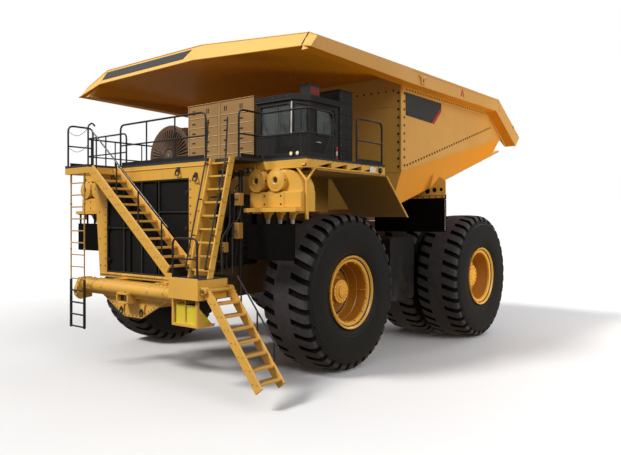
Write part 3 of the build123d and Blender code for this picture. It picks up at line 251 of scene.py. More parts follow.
# Each look's paler edge colour is partly wear and partly painted highlight
blackLook = {
    "base": (0.008, 0.008, 0.009), "dark": (0.005, 0.005, 0.0055), "grime": (0.02, 0.018, 0.016),
    "edgeWearAndHighlight": (0.055, 0.055, 0.055), "driftScale": 0.9, "streaks": 0.2, "dust": 0.16,
    "edge": 0.008, "wear": 0.6, "rough": 0.42, "peel": 0.08, "coat": 0.06,
}
blackPaint = steelPaint("blackPaint", blackLook)
castDark = steelPaint("castDark", blackLook | {
    "base": (0.034, 0.031, 0.028), "dark": (0.018, 0.017, 0.015), "grime": (0.06, 0.045, 0.03),
    "rough": 0.6, "peel": 0.5, "coat": 0.0, "dust": 0.4})
chockPaint = steelPaint("chockPaint", yellowLook | {
    "base": (0.72, 0.6, 0.022), "dark": (0.56, 0.48, 0.018), "grime": (0.25, 0.2, 0.03),
    "edgeWearAndHighlight": (0.88, 0.8, 0.15), "rough": 0.4, "coat": 0.0})
signRed = steelPaint("signRed", blackLook | {
    "base": (0.55, 0.02, 0.015), "dark": (0.42, 0.015, 0.012), "edgeWearAndHighlight": (0.7, 0.1, 0.08), "rough": 0.35})
signDark = steelPaint("signDark", blackLook | {
    "base": (0.032, 0.033, 0.034), "dark": (0.026, 0.027, 0.028), "rough": 0.36, "dust": 0.0, "wear": 0.2})
paleStrip = steelPaint("paleStrip", blackLook | {
    "base": (0.72, 0.72, 0.7), "dark": (0.6, 0.6, 0.58), "grime": (0.35, 0.33, 0.3),
    "edgeWearAndHighlight": (0.85, 0.85, 0.83), "rough": 0.4, "dust": 0.3})


def tyreRubber(name, look):
    # Vulcanised rubber: matt, mottled with fine dust, dustier out on the tread
    made, tree, shader, coords = blankMaterial(name)
    mottle = noiseAt(tree, coords, 5.0, 8.0, 0.65)
    tone = rampFrom(tree, mottle, "Fac", [(0.32, rgb(*look["deep"])), (0.72, rgb(*look["pale"]))])
    grain = noiseAt(tree, coords, 60.0, 6.0, 0.7)
    speck = rangeFrom(tree, grain, "Fac", 0.52, 0.75, 0.0, look["dust"])
    dusty = mixColours(tree, (speck, "Result"), (tone, "Color"), rgb(0.115, 0.1, 0.088))
    join(tree, dusty, 2, shader, "Base Color")
    glossFrom(tree, mottle, shader, look["rough"] - 0.08, look["rough"] + 0.1)
    rounded = addNode(tree, "ShaderNodeBevel", {"samples": 4}, Radius=0.01)
    bumpFrom(tree, grain, "Fac", shader, look["bump"], 0.004, rounded)
    setSockets(shader, Specular_IOR_Level=look["shine"])
    return made


sideRubber = tyreRubber("sideRubber", {"deep": (0.0055, 0.0055, 0.006), "pale": (0.0105, 0.0105, 0.011),
                                       "dust": 0.1, "rough": 0.46, "bump": 0.2, "shine": 0.36})
treadRubber = tyreRubber("treadRubber", {"deep": (0.04, 0.036, 0.041), "pale": (0.068, 0.061, 0.068),
                                         "dust": 0.6, "rough": 0.72, "bump": 0.6, "shine": 0.25})
grooveRubber = tyreRubber("grooveRubber", {"deep": (0.005, 0.005, 0.005), "pale": (0.009, 0.009, 0.009),
                                           "dust": 0.1, "rough": 0.8, "bump": 0.4, "shine": 0.15})
flapRubber = tyreRubber("flapRubber", {"deep": (0.0025, 0.0023, 0.002), "pale": (0.0045, 0.004, 0.0035),
                                       "dust": 0.05, "rough": 0.7, "bump": 0.2, "shine": 0.05})


def gripDeck(name):
    # Punched anti-slip plate: rows of small raised rims on worn dark paint
    made, tree, shader, coords = blankMaterial(name)
    cells = addNode(tree, "ShaderNodeTexVoronoi", {"feature": "F1", "distance": "EUCLIDEAN"},
                    Scale=16.0, Randomness=0.0)
    join(tree, coords, "Object", cells, "Vector")
    rims = rampFrom(tree, cells, "Distance", [(0.0, rgb(0, 0, 0)), (0.16, rgb(1, 1, 1)), (0.26, rgb(1, 1, 1)),
                                              (0.36, rgb(0, 0, 0))])
    wear = noiseAt(tree, coords, 2.5, 6.0, 0.6)
    tone = rampFrom(tree, wear, "Fac", [(0.35, rgb(0.012, 0.012, 0.011)), (0.75, rgb(0.032, 0.029, 0.026))])
    bright = mixColours(tree, (rims, "Color"), (tone, "Color"), rgb(0.05, 0.047, 0.044))
    join(tree, bright, 2, shader, "Base Color")
    bumpFrom(tree, rims, "Color", shader, 0.7, 0.006)
    setSockets(shader, Roughness=0.62)
    return made


deckGrip = gripDeck("deckGrip")


def bareSteel(name, look):
    # Metal: brushed along its length or scoured by rock, with rust where it has rested
    made, tree, shader, coords = blankMaterial(name)
    brush = noiseAt(tree, coords, 8.0, 8.0, 0.7, look["stretch"])
    tone = rampFrom(tree, brush, "Fac", [(0.3, rgb(*look["dark"])), (0.7, rgb(*look["base"]))])
    rust = noiseAt(tree, coords, 1.7, 7.0, 0.65)
    rustMask = rangeFrom(tree, rust, "Fac", 0.5, 0.75, 0.0, look["rust"])
    rusty = mixColours(tree, (rustMask, "Result"), (tone, "Color"), rgb(0.18, 0.085, 0.04))
    join(tree, rusty, 2, shader, "Base Color")
    glossFrom(tree, brush, shader, look["rough"] - 0.06, look["rough"] + 0.1)
    bumpFrom(tree, brush, "Fac", shader, look["bump"], 0.003)
    setSockets(shader, Metallic=look["metal"])
    return made


rodChrome = bareSteel("rodChrome", {"base": (0.78, 0.78, 0.8), "dark": (0.66, 0.66, 0.68), "rust": 0.0,
                                    "stretch": (1, 1, 1), "rough": 0.12, "bump": 0.02, "metal": 1.0})
boltSteel = bareSteel("boltSteel", {"base": (0.3, 0.26, 0.2), "dark": (0.16, 0.13, 0.09), "rust": 0.3,
                                    "stretch": (4, 4, 4), "rough": 0.4, "bump": 0.2, "metal": 0.8})


def cabGlass(name):
    made, tree, shader, coords = blankMaterial(name)
    film = noiseAt(tree, coords, 3.0, 5.0, 0.6)
    tint = rampFrom(tree, film, "Fac", [(0.3, rgb(0.36, 0.41, 0.41)), (0.8, rgb(0.48, 0.53, 0.52))])
    join(tree, tint, "Color", shader, "Base Color")
    haze = rangeFrom(tree, film, "Fac", 0.4, 0.8, 0.02, 0.12)
    join(tree, haze, "Result", shader, "Roughness")
    setSockets(shader, Transmission_Weight=0.85, IOR=1.45)
    return made


windowGlass = cabGlass("windowGlass")


def lampGlass(name, colour, glow):
    made, tree, shader, coords = blankMaterial(name)
    ribs = addNode(tree, "ShaderNodeTexWave", {"wave_type": "BANDS", "bands_direction": "X"}, Scale=30.0)
    join(tree, coords, "Object", ribs, "Vector")
    tone = mixColours(tree, (ribs, "Fac"), rgb(*colour), rgb(*[min(1, c * 1.25) for c in colour]))
    join(tree, tone, 2, shader, "Base Color")
    bumpFrom(tree, ribs, "Fac", shader, 0.3, 0.003)
    setSockets(shader, Roughness=0.15, Emission_Color=rgb(*colour), Emission_Strength=glow)
    return made


lampPale = lampGlass("lampPale", (0.72, 0.62, 0.36), 0.15)
lampAmber = lampGlass("lampAmber", (0.85, 0.42, 0.06), 0.2)
displayRed = lampGlass("displayRed", (0.55, 0.03, 0.02), 0.35)


def wovenSeat(name):
    made, tree, shader, coords = blankMaterial(name)
    cross = crossedBands(tree, coords, 90.0, "MULTIPLY")
    tone = mixColours(tree, (cross, "Value"), rgb(0.022, 0.022, 0.025), rgb(0.07, 0.07, 0.075))
    join(tree, tone, 2, shader, "Base Color")
    bumpFrom(tree, cross, "Value", shader, 0.5, 0.002)
    setSockets(shader, Roughness=0.85, Sheen_Weight=0.3)
    return made


seatFabric = wovenSeat("seatFabric")


def coreScreen(name):
    # Radiator screen: fine wire mesh over black fins
    made, tree, shader, coords = blankMaterial(name)
    wires = crossedBands(tree, coords, 24.0, "MAXIMUM")
    shade = noiseAt(tree, coords, 0.9, 4.0, 0.6)
    wireTone = rampFrom(tree, shade, "Fac",
                        [(0.35, rgb(0.003, 0.003, 0.003)), (0.7, rgb(0.007, 0.007, 0.007))])
    holes = rangeFrom(tree, wires, "Value", 0.86, 0.98, 0.0, 1.0)
    tone = mixColours(tree, (holes, "Result"), rgb(0.002, 0.002, 0.002), (wireTone, "Color"))
    join(tree, tone, 2, shader, "Base Color")
    bumpFrom(tree, wires, "Value", shader, 0.6, 0.004)
    setSockets(shader, Roughness=0.6, Specular_IOR_Level=0.2)
    return made


radiatorScreen = coreScreen("radiatorScreen")
print("stage: materials made")


# Small mesh helpers: each adds a shape to an open bmesh
def finishPiece(bm, name, body, materials, replaced=(), recalc=True, sharp=32):
    if recalc:
        bmesh.ops.recalc_face_normals(bm, faces=bm.faces)
    mesh = bpy.data.meshes.new(name)
    bm.to_mesh(mesh)
    bm.free()
    for polygon in mesh.polygons:
        polygon.use_smooth = True
    mesh.set_sharp_from_angle(angle=math.radians(sharp))
    piece = bpy.data.objects.new(name, mesh)
    bpy.context.scene.collection.objects.link(piece)
    for material in materials:
        mesh.materials.append(material)
    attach(piece, body)
    if replaced:
        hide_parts(*replaced)
    return piece


def facesOf(verts):
    return list(dict.fromkeys(face for vert in verts for face in vert.link_faces))


def edgesOf(verts):
    return list(dict.fromkeys(edge for vert in verts for edge in vert.link_edges))


def paintFaces(faces, index):
    for face in faces:
        face.material_index = index


def roundEdges(bm, edges, width, segments=2):
    bmesh.ops.bevel(bm, geom=edges, offset=width, offset_type="OFFSET", segments=segments,
                    profile=0.5, affect="EDGES", clamp_overlap=True, material=-1)


def addBox(bm, corner, opposite, edge=0.006, index=0):
    low, high = Vector(map(min, corner, opposite)), Vector(map(max, corner, opposite))
    size = high - low
    place = Matrix.Translation((low + high) / 2) @ Matrix.Diagonal((*size, 1))
    verts = bmesh.ops.create_cube(bm, size=1, matrix=place)["verts"]
    paintFaces(facesOf(verts), index)
    if edge:
        roundEdges(bm, edgesOf(verts), min(edge, min(size) * 0.4), 1)


def addPlate(bm, outline, thickness, edge=0.006, index=0):
    # outline is a loop of points in one plane, thickness the way the plate grows
    verts = [bm.verts.new(Vector(p)) for p in outline]
    grown = bmesh.ops.extrude_face_region(bm, geom=[bm.faces.new(verts)])["geom"]
    fresh = [g for g in grown if isinstance(g, bmesh.types.BMVert)]
    bmesh.ops.translate(bm, verts=fresh, vec=Vector(thickness))
    faces = facesOf(verts + fresh)
    bmesh.ops.recalc_face_normals(bm, faces=faces)
    paintFaces(faces, index)
    if edge:
        roundEdges(bm, edgesOf(verts + fresh), edge, 1)


def addCone(bm, start, end, startRadius, endRadius, sides=24, edge=0.0, index=0):
    start, end = Vector(start), Vector(end)
    run = end - start
    place = Matrix.Translation((start + end) / 2) @ run.to_track_quat("Z", "Y").to_matrix().to_4x4()
    verts = bmesh.ops.create_cone(bm, cap_ends=True, cap_tris=False, segments=sides, radius1=startRadius,
                                  radius2=endRadius, depth=run.length, matrix=place)["verts"]
    faces = facesOf(verts)
    paintFaces(faces, index)
    if edge:
        rims = [e for f in faces if len(f.verts) > 4 for e in f.edges]
        roundEdges(bm, rims, edge, 2)


def addBolt(bm, place, facing, radius=0.022, height=0.018, index=0):
    # Hexagon head on a round washer
    place, facing = Vector(place), Vector(facing).normalized()
    addCone(bm, place, place + facing * height * 0.25, radius * 1.35, radius * 1.35, 10, index=index)
    addCone(bm, place + facing * height * 0.25, place + facing * height, radius, radius * 0.94, 6,
            index=index)


def roundedPath(points, bend):
    points = [Vector(p) for p in points]
    path = [points[0]]
    for before, corner, after in zip(points, points[1:], points[2:]):
        backWay, onWay = before - corner, after - corner
        reach = min(bend, backWay.length * 0.48, onWay.length * 0.48)
        start = corner + backWay.normalized() * reach
        end = corner + onWay.normalized() * reach
        for share in (0, 0.25, 0.5, 0.75, 1):
            path.append(start.lerp(corner, share).lerp(corner.lerp(end, share), share))
    path.append(points[-1])
    return path


def addTube(bm, points, radius, bend=0.12, sides=12, index=0):
    # A round bar bent through the points, made by drawing a disc along the path
    path = roundedPath(points, bend)
    way = (path[1] - path[0]).normalized()
    turned = way.to_track_quat("Z", "Y")
    place = Matrix.Translation(path[0]) @ turned.to_matrix().to_4x4()
    ring = bmesh.ops.create_circle(bm, cap_ends=True, segments=sides, radius=radius, matrix=place)["verts"]
    face = ring[0].link_faces[0]
    made = list(ring)
    for here, there, further in zip(path, path[1:], path[2:] + [None]):
        grown = bmesh.ops.extrude_face_region(bm, geom=[face])["geom"]
        fresh = [g for g in grown if isinstance(g, bmesh.types.BMVert)]
        newFace = next(g for g in grown if isinstance(g, bmesh.types.BMFace))
        nextWay = (there - here).normalized() if further is None else \
            ((there - here).normalized() + (further - there).normalized()).normalized()
        swing = way.rotation_difference(nextWay).to_matrix().to_4x4()
        move = Matrix.Translation(there) @ swing @ Matrix.Translation(-here)
        bmesh.ops.transform(bm, matrix=move, verts=fresh)
        way, face = nextWay, newFace
        made += fresh
    faces = facesOf(made)
    paintFaces(faces, index)
    bmesh.ops.recalc_face_normals(bm, faces=faces)


def spunAboutX(bm, profile, centre, outward, steps):
    # profile is a closed loop of (distance outward, radius) pairs; outward is +1 or -1 along X
    centre = Vector(centre)
    verts = [bm.verts.new(centre + Vector((outward * out, 0, radius))) for out, radius in profile]
    edges = [bm.edges.new((a, b)) for a, b in zip(verts, verts[1:] + verts[:1])]
    bmesh.ops.spin(bm, geom=verts + edges, cent=centre, axis=(1, 0, 0), angle=2 * math.pi,
                   steps=steps, use_merge=True, use_duplicate=False)


def spokesAboutX(count, shift=0.0):
    # Unit vectors spread evenly round the X axis
    angles = [2 * math.pi * (number + shift) / count for number in range(count)]
    return [Vector((0, math.sin(angle), math.cos(angle))) for angle in angles]


def spokesAboutY(count, shift=0.0):
    return [Vector((spoke.y, 0, spoke.z)) for spoke in spokesAboutX(count, shift)]


def ringOfBolts(bm, centre, outward, out, ringRadius, count, radius, height, index=0):
    for spoke in spokesAboutX(count):
        place = centre + Vector((outward * out, 0, 0)) + spoke * ringRadius
        addBolt(bm, place, (outward, 0, 0), radius, height, index)


def rowOfBolts(bm, start, end, facing, count, radius=0.022, height=0.018, index=0):
    start, end = Vector(start), Vector(end)
    for number in range(count):
        addBolt(bm, start.lerp(end, number / max(1, count - 1)), facing, radius, height, index)


# Tyres: a carcass turned about the axle, with shoulder grooves pressed into both edges of the tread
tyreSet = {
    "lugs": 34,             # grooves round each shoulder
    "columnsPerLug": 5,     # two of the five are groove
    "grooveDepth": 0.085,
    "lean": 0.1,           # how far a groove leans round the tyre from middle to edge, in radians
    "crown": [(0.0, 0.0), (0.13, 0.001), (0.235, 0.004), (0.36, 0.01), (0.49, 0.02), (0.585, 0.036)],
    "shoulder": [(0.65, 0.085), (0.682, 0.16)],
    "wall": [(0.7, 0.235), (0.716, 0.3), (0.722, 0.305), (0.726, 0.345), (0.722, 0.352), (0.73, 0.45),
             (0.7325, 0.58), (0.732, 0.68), (0.724, 0.79), (0.706, 0.885), (0.7, 0.89), (0.69, 0.925),
             (0.694, 0.93), (0.672, 0.985), (0.65, 1.015), (0.64, 1.045), (0.615, 1.07), (0.6, 1.075),
             (0.6, 1.205)],
}


def addTyre(bm, centre, radius):
    half = [(x, radius - drop) for x, drop in
            tyreSet["crown"] + tyreSet["shoulder"] + tyreSet["wall"]]
    profile = [(-x, r) for x, r in reversed(half[1:])] + half
    steps = tyreSet["lugs"] * tyreSet["columnsPerLug"]
    before = set(bm.faces)
    spunAboutX(bm, profile, centre, 1, steps)
    bmesh.ops.remove_doubles(bm, verts=bm.verts, dist=0.0002)
    own = [f for f in bm.faces if f not in before]
    bmesh.ops.recalc_face_normals(bm, faces=own)
    grooveInner, grooveOuter = tyreSet["crown"][2][0], tyreSet["wall"][0][0]
    treadEdge = tyreSet["shoulder"][-1][0]
    pressed = []
    for face in own:
        middle = face.calc_center_median() - centre
        reach = abs(middle.x)
        angle = math.atan2(middle.y, middle.z) % (2 * math.pi)
        column = int(angle / (2 * math.pi) * steps) % tyreSet["columnsPerLug"]
        face.material_index = 1 if reach < treadEdge and middle.yz.length > radius - 0.2 else 0
        if column in (0, 1) and grooveInner < reach < grooveOuter and middle.yz.length > radius - 0.24:
            pressed.append(face)
    grown = bmesh.ops.extrude_face_region(bm, geom=pressed)["geom"]
    bmesh.ops.delete(bm, geom=pressed, context="FACES_ONLY")
    fresh = [g for g in grown if isinstance(g, bmesh.types.BMVert)]
    paintFaces([g for g in grown if isinstance(g, bmesh.types.BMFace)], 2)
    for vert in fresh:
        spoke = vert.co - centre
        share = min(1.0, max(0.0, (tyreSet["wall"][0][0] - abs(spoke.x)) / 0.05))
        inward = spoke.yz.normalized() * tyreSet["grooveDepth"] * share
        vert.co -= Vector((0, *inward))
        paintFaces(vert.link_faces, 2)
    for vert in {v for f in bm.faces if f not in before for v in f.verts}:
        spoke = vert.co - centre
        if spoke.yz.length > radius - 0.3:
            turn = tyreSet["lean"] * spoke.x / tyreSet["crown"][-1][0]
            vert.co = centre + Matrix.Rotation(turn, 3, "X") @ spoke


def makeTyres(name, body, node, centres, radius):
    bm = bmesh.new()
    for centre in centres:
        addTyre(bm, Vector(centre), radius)
    return finishPiece(bm, name, body, [sideRubber, treadRubber, grooveRubber], (node,),
                       False, 28)


frontCentre = {name: jointAt[f"front_wheel_{name}_spin"] for name, side in sides}
rearCentre = {name: jointAt[f"rear_wheels_{name}_spin"] for name, side in sides}
tyreLow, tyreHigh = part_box("front_tyre_left")
tyreRadius = (tyreHigh.z - tyreLow.z) / 2
twinLow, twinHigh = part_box("rear_tyres_left")
twinStep = (twinHigh.x - twinLow.x) - (tyreHigh.x - tyreLow.x)
for name, side in sides:
    makeTyres(f"tyreFront_{name}", f"front_wheel_{name}", f"front_tyre_{name}", [frontCentre[name]],
              tyreRadius)
    outer = rearCentre[name]
    makeTyres(f"tyresRear_{name}", f"rear_wheels_{name}", f"rear_tyres_{name}",
              [outer, outer - Vector((side * twinStep, 0, 0))], tyreRadius)
print("stage: tyres made")


# Rims: a deep dish with a lock ring, a bolted disc and a hub
frontRimSet = {
    # (distance outward from the tyre's middle, radius), from the outer lip in and back round behind
    "profile": [(0.688, 0.915), (0.69, 0.934), (0.676, 0.941), (0.64, 0.941), (0.612, 0.925), (0.607, 0.88),
                (0.604, 0.805), (-0.604, 0.805), (-0.607, 0.895), (-0.645, 0.895), (-0.65, 0.745),
                (-0.1, 0.735), (-0.06, 0.55), (-0.125, 0.42), (-0.129, 0.205), (0.2, 0.205), (0.375, 0.1),
                (0.388, 0.006), (0.39, 0.15), (0.382, 0.165), (0.35, 0.17), (0.345, 0.225),
                (0.325, 0.235), (0.32, 0.3), (0.245, 0.318), (0.185, 0.33), (0.17, 0.372), (0.12, 0.385),
                (0.105, 0.43), (0.06, 0.452), (0.056, 0.64), (0.075, 0.68), (0.135, 0.7),
                (0.3, 0.722), (0.312, 0.736), (0.33, 0.738), (0.56, 0.762), (0.606, 0.782), (0.622, 0.806),
                (0.626, 0.85), (0.64, 0.858), (0.646, 0.862), (0.65, 0.88), (0.662, 0.89), (0.672, 0.905)],
    # count, radius of the ring, size, distance outward, finish
    "boltRings": ((44, 0.612, 0.025, 0.0565, 1), (16, 0.262, 0.017, 0.322, 0), (8, 0.115, 0.014, 0.389, 0)),
    "clamps": 12, "steps": 96, "dishTo": 0.305,
}
rearRimSet = {
    "outer": [(0.688, 0.915), (0.69, 0.934), (0.676, 0.941), (0.64, 0.941), (0.612, 0.925), (0.607, 0.88),
              (0.604, 0.805), (-0.604, 0.805), (-0.607, 0.895), (-0.645, 0.895), (-0.65, 0.805)],
    "face": [(0.11, 0.64), (0.098, 0.6), (0.102, 0.56), (0.178, 0.548), (0.182, 0.43), (0.196, 0.412),
             (0.3, 0.396), (0.308, 0.34), (0.352, 0.326), (0.358, 0.19), (0.386, 0.15), (0.389, 0.006)],
    "barrel": [(0.125, 0.69), (0.16, 0.712), (0.56, 0.762), (0.606, 0.782), (0.622, 0.806), (0.626, 0.85),
               (0.64, 0.858), (0.646, 0.862), (0.65, 0.88), (0.662, 0.89), (0.672, 0.905)],
    # The inner wheel's rim, from its own middle
    "inner": [(0.65, 0.805), (0.645, 0.895), (0.607, 0.895), (0.604, 0.805), (-0.604, 0.805),
              (-0.607, 0.895), (-0.645, 0.895), (-0.65, 0.745), (-0.2, 0.74), (-0.2, 0.565)],
    "boltRings": ((40, 0.625, 0.019, 0.106), (32, 0.49, 0.018, 0.18), (20, 0.368, 0.017, 0.304),
                  (12, 0.255, 0.016, 0.355)),
    "ribs": 16, "steps": 96, "dishTo": 0.56,
}


def shadeByRadius(bm, centre, hubRadius):
    # The recessed dish is given a darker colour as painted shade, and the lock ring sits in a dark groove
    for face in bm.faces:
        reach = (face.calc_center_median() - centre).yz.length
        face.material_index = 2 if hubRadius < reach < 0.755 else 1 if 0.852 < reach < 0.884 else 0


def turnRim(profile, centre, side, rimSet):
    bm = bmesh.new()
    spunAboutX(bm, profile, centre, side, rimSet["steps"])
    bmesh.ops.remove_doubles(bm, verts=bm.verts, dist=0.0002)
    bmesh.ops.recalc_face_normals(bm, faces=bm.faces)
    shadeByRadius(bm, centre, rimSet["dishTo"])
    return bm


def makeFrontRim(name, side):
    centre = frontCentre[name]
    bm = turnRim(frontRimSet["profile"], centre, side, frontRimSet)
    for count, ringRadius, size, out, slot in frontRimSet["boltRings"]:
        ringOfBolts(bm, centre, side, out - 0.002, ringRadius, count, size, size * 1.1, slot)
    # Clamps that hold the lock ring, and the valve
    for spoke in spokesAboutX(frontRimSet["clamps"], 0.5):
        foot = centre + Vector((side * 0.6, 0, 0)) + spoke * 0.745
        addCone(bm, foot, foot + Vector((side * 0.03, 0, 0)) + spoke * 0.035, 0.02, 0.014, 8)
    addTube(bm, [centre + Vector((side * 0.35, 0.7, 0)), centre + Vector((side * 0.45, 0.69, 0)),
                 centre + Vector((side * 0.6, 0.745, 0))], 0.009, 0.04, 8)
    finishPiece(bm, f"rimFront_{name}", f"front_wheel_{name}", [rimYellow, castDark, rimDishShade],
                (f"front_rim_{name}",), False)


def makeRearRims(name, side):
    centre = rearCentre[name]
    # The barrel ends just clear of the axle housing
    bore = abs(centre.x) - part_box("rear_axle_housing")[1].x
    profile = rearRimSet["outer"] + [(out - twinStep, radius) for out, radius in rearRimSet["inner"]]
    profile += [(0.028 - bore, 0.565), (0.029 - bore, 0.01)]
    profile += rearRimSet["face"][::-1] + rearRimSet["barrel"]
    bm = turnRim(profile, centre, side, rearRimSet)
    for count, ringRadius, size, out in rearRimSet["boltRings"]:
        ringOfBolts(bm, centre, side, out - 0.004, ringRadius, count, size, size * 1.2, 1)
    # Ribs on the cover, and drain plugs
    cover = centre + Vector((side * 0.186, 0, 0))
    for spoke in spokesAboutX(rearRimSet["ribs"]):
        across = Vector((0, spoke.z, -spoke.y)) * 0.01
        start, end = cover + spoke * 0.41, cover + spoke * 0.535
        raised = Vector((side * 0.045, 0, 0))
        addPlate(bm, [start - across, end - across, end - across + raised * 0.3, start - across + raised],
                 across * 2, 0.003)
    for angle in (0.5, 2.7):
        place = centre + Vector((side * 0.302, 0.37 * math.sin(angle) * 0.9, 0.37 * math.cos(angle) * 0.9))
        addCone(bm, place, place + Vector((side * 0.03, 0, 0)), 0.035, 0.03, 16, 0.004)
    finishPiece(bm, f"rimsRear_{name}", f"rear_wheels_{name}", [rimYellow, castDark, rimDishShade],
                (f"rear_rims_{name}",), False)


for name, side in sides:
    makeFrontRim(name, side)
    makeRearRims(name, side)
print("stage: rims made")


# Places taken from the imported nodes
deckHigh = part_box("deck_floor")[1]
grilleLow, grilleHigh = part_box("radiator_grille")
cabLow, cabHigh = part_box("cab_shell")
frontAxle = frontCentre["left"]
deckZ = deckHigh.z
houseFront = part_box("radiator_housing")[0].y

paintedNodes = (
    (bodyYellow, "front_bumper bumper_platform deck_frame radiator_housing air_cleaners"),
    (bedYellow, "bed_side_left bed_side_right bed_canopy bed_headboard bed_beams bed_floor"),
    (frontStairPaint, "front_stair"), (deckLadderPaint, "deck_ladder"), (accessStairPaint, "access_stair"),
    # The front fenders take the dark colour that paints the shade inside the arches
    (fenderPaintedShade, "front_fenders"), (frameBrown, "main_frame rear_axle_housing"),
    (castDark, "engine_block front_struts steering_knuckle_left steering_knuckle_right"),
    (castDark, "steer_barrel_left steer_barrel_right"),
    (blackPaint, "fuel_tank hydraulic_tank escape_ladder cab_rear_cabinet cab_shell cab_door"),
    (blackPaint, "deck_handrails hoist_barrel_left hoist_barrel_right"),
    (flapRubber, "front_mud_flaps rear_mud_flaps"), (chockPaint, "wheel_chocks"), (deckGrip, "deck_floor"),
    (seatFabric, "cab_interior"), (windowGlass, "cab_windows cab_door_window"),
    # The control cabinets' darker tan is partly painted shade from the canopy
    (cabinetTanAndShade, "control_cabinets"), (drumBrown, "retarder_drum"), (radiatorScreen, "radiator_grille"),
    (signDark, "display_board"), (rodChrome, "steer_rod_left steer_rod_right hoist_rod_left hoist_rod_right"),
    (rodChrome, "hoist_stage_left hoist_stage_right"),
)
for material, nodes in paintedNodes:
    for node in nodes.split():
        mesh = frame["nodes"][node].data
        mesh.materials.clear()
        mesh.materials.append(material)
print("stage: plain nodes painted")


# Floor, camera and lights
def makeFloor():
    made, tree, shader, coords = blankMaterial("paleFloor")
    cloud = noiseAt(tree, coords, 0.15, 3.0, 0.5)
    tone = rampFrom(tree, cloud, "Fac", [(0.3, rgb(0.76, 0.76, 0.77)), (0.7, rgb(0.8, 0.8, 0.81))])
    # Painted shade: the floor is grey near the truck, fading to white far away
    reach = addNode(tree, "ShaderNodeVectorMath", {"operation": "LENGTH"})
    join(tree, coords, "Object", reach, 0)
    far = rangeFrom(tree, reach, "Value", 9, 26, 0.0, 1.0)
    faded = mixColours(tree, (far, "Result"), (tone, "Color"), rgb(0.98, 0.98, 0.98))
    join(tree, faded, 2, shader, "Base Color")
    setSockets(shader, Roughness=0.55)
    bm = bmesh.new()
    bmesh.ops.create_grid(bm, x_segments=2, y_segments=2, size=160)
    mesh = bpy.data.meshes.new("floor")
    bm.to_mesh(mesh)
    bm.free()
    mesh.materials.append(made)
    floor = bpy.data.objects.new("floor", mesh)
    bpy.context.scene.collection.objects.link(floor)
    floor.visible_diffuse = False
    floor.visible_glossy = False


def makeLight(name, place, target, size, power, colour, mirrored=True):
    lamp = bpy.data.lights.new(name, "AREA")
    lamp.shape = "DISK"
    lamp.size = size
    lamp.energy = power
    lamp.color = colour
    holder = bpy.data.objects.new(name, lamp)
    holder.location = place
    holder.rotation_euler = (Vector(target) - Vector(place)).to_track_quat("-Z", "Y").to_euler()
    holder.visible_glossy = mirrored
    bpy.context.scene.collection.objects.link(holder)


def makeCamera():
    camera = bpy.data.cameras.new("camera")
    camera.lens = 37.1
    camera.sensor_width = 36
    camera.shift_x = 0.0183
    camera.shift_y = -0.0117
    camera.clip_end = 400
    holder = bpy.data.objects.new("camera", camera)
    holder.location = frontAxle + Vector((13.504 - frontAxle.x, -13.468, 3.859 - frontAxle.z))
    holder.rotation_euler = (math.radians(90), 0, math.radians(39.71))
    bpy.context.scene.collection.objects.link(holder)
    bpy.context.scene.camera = holder


def makeWorld():
    # White backdrop; the light that reaches the object comes mostly from above
    world = bpy.data.worlds.new("studio")
    bpy.context.scene.world = world
    world.use_nodes = True
    tree = world.node_tree
    shown = tree.nodes["Background"]
    shown.inputs["Color"].default_value = (1, 1, 1, 1)
    shown.inputs["Strength"].default_value = 1.0
    coords = addNode(tree, "ShaderNodeTexCoord")
    split = addNode(tree, "ShaderNodeSeparateXYZ")
    join(tree, coords, "Generated", split, "Vector")
    sky = rampFrom(tree, rangeFrom(tree, split, "Z", -0.25, 0.9, 0.0, 1.0), "Result",
                   [(0.0, rgb(0.4, 0.33, 0.24)), (0.22, rgb(0.33, 0.3, 0.27)), (1.0, rgb(0.8, 0.83, 0.88))])
    lit = addNode(tree, "ShaderNodeBackground", Strength=0.66)
    join(tree, sky, "Color", lit, "Color")
    seen = addNode(tree, "ShaderNodeLightPath")
    choose = addNode(tree, "ShaderNodeMixShader")
    join(tree, seen, "Is Camera Ray", choose, 0)
    join(tree, lit, "Background", choose, 1)
    join(tree, shown, "Background", choose, 2)
    join(tree, choose, "Shader", tree.nodes["World Output"], "Surface")


def makeSun(name, towards, power, spread, colour):
    lamp = bpy.data.lights.new(name, "SUN")
    lamp.energy = power
    lamp.angle = math.radians(spread)
    lamp.color = colour
    holder = bpy.data.objects.new(name, lamp)
    holder.rotation_euler = Vector(towards).to_track_quat("-Z", "Y").to_euler()
    bpy.context.scene.collection.objects.link(holder)


makeFloor()
makeCamera()
makeWorld()
makeSun("keySun", (0.35, 0.8, -0.85), 3.05, 14, (1.0, 0.97, 0.92))
makeSun("fillSun", (-0.95, 0.25, -0.62), 1.05, 34, (1.0, 0.98, 0.95))
makeLight("rimLight", (6, 24, 20), (0, 2, 5), 12, 1400, (0.96, 0.98, 1.0))
makeLight("bounceLight", (13, 9, 0.8), (3.4, 3.6, 5.4), 5, 1150, (1.0, 0.93, 0.82), False)
bpy.context.scene.view_settings.view_transform = "Standard"
print("stage: floor, camera and lights placed")


# Front: grille surround, bolts, lugs, top beam, bumper and tow gear
grilleSet = {"doorJoints": (-0.93, -0.16, 0.54), "frameHalf": 0.022, "hingeFromEnd": 0.35}


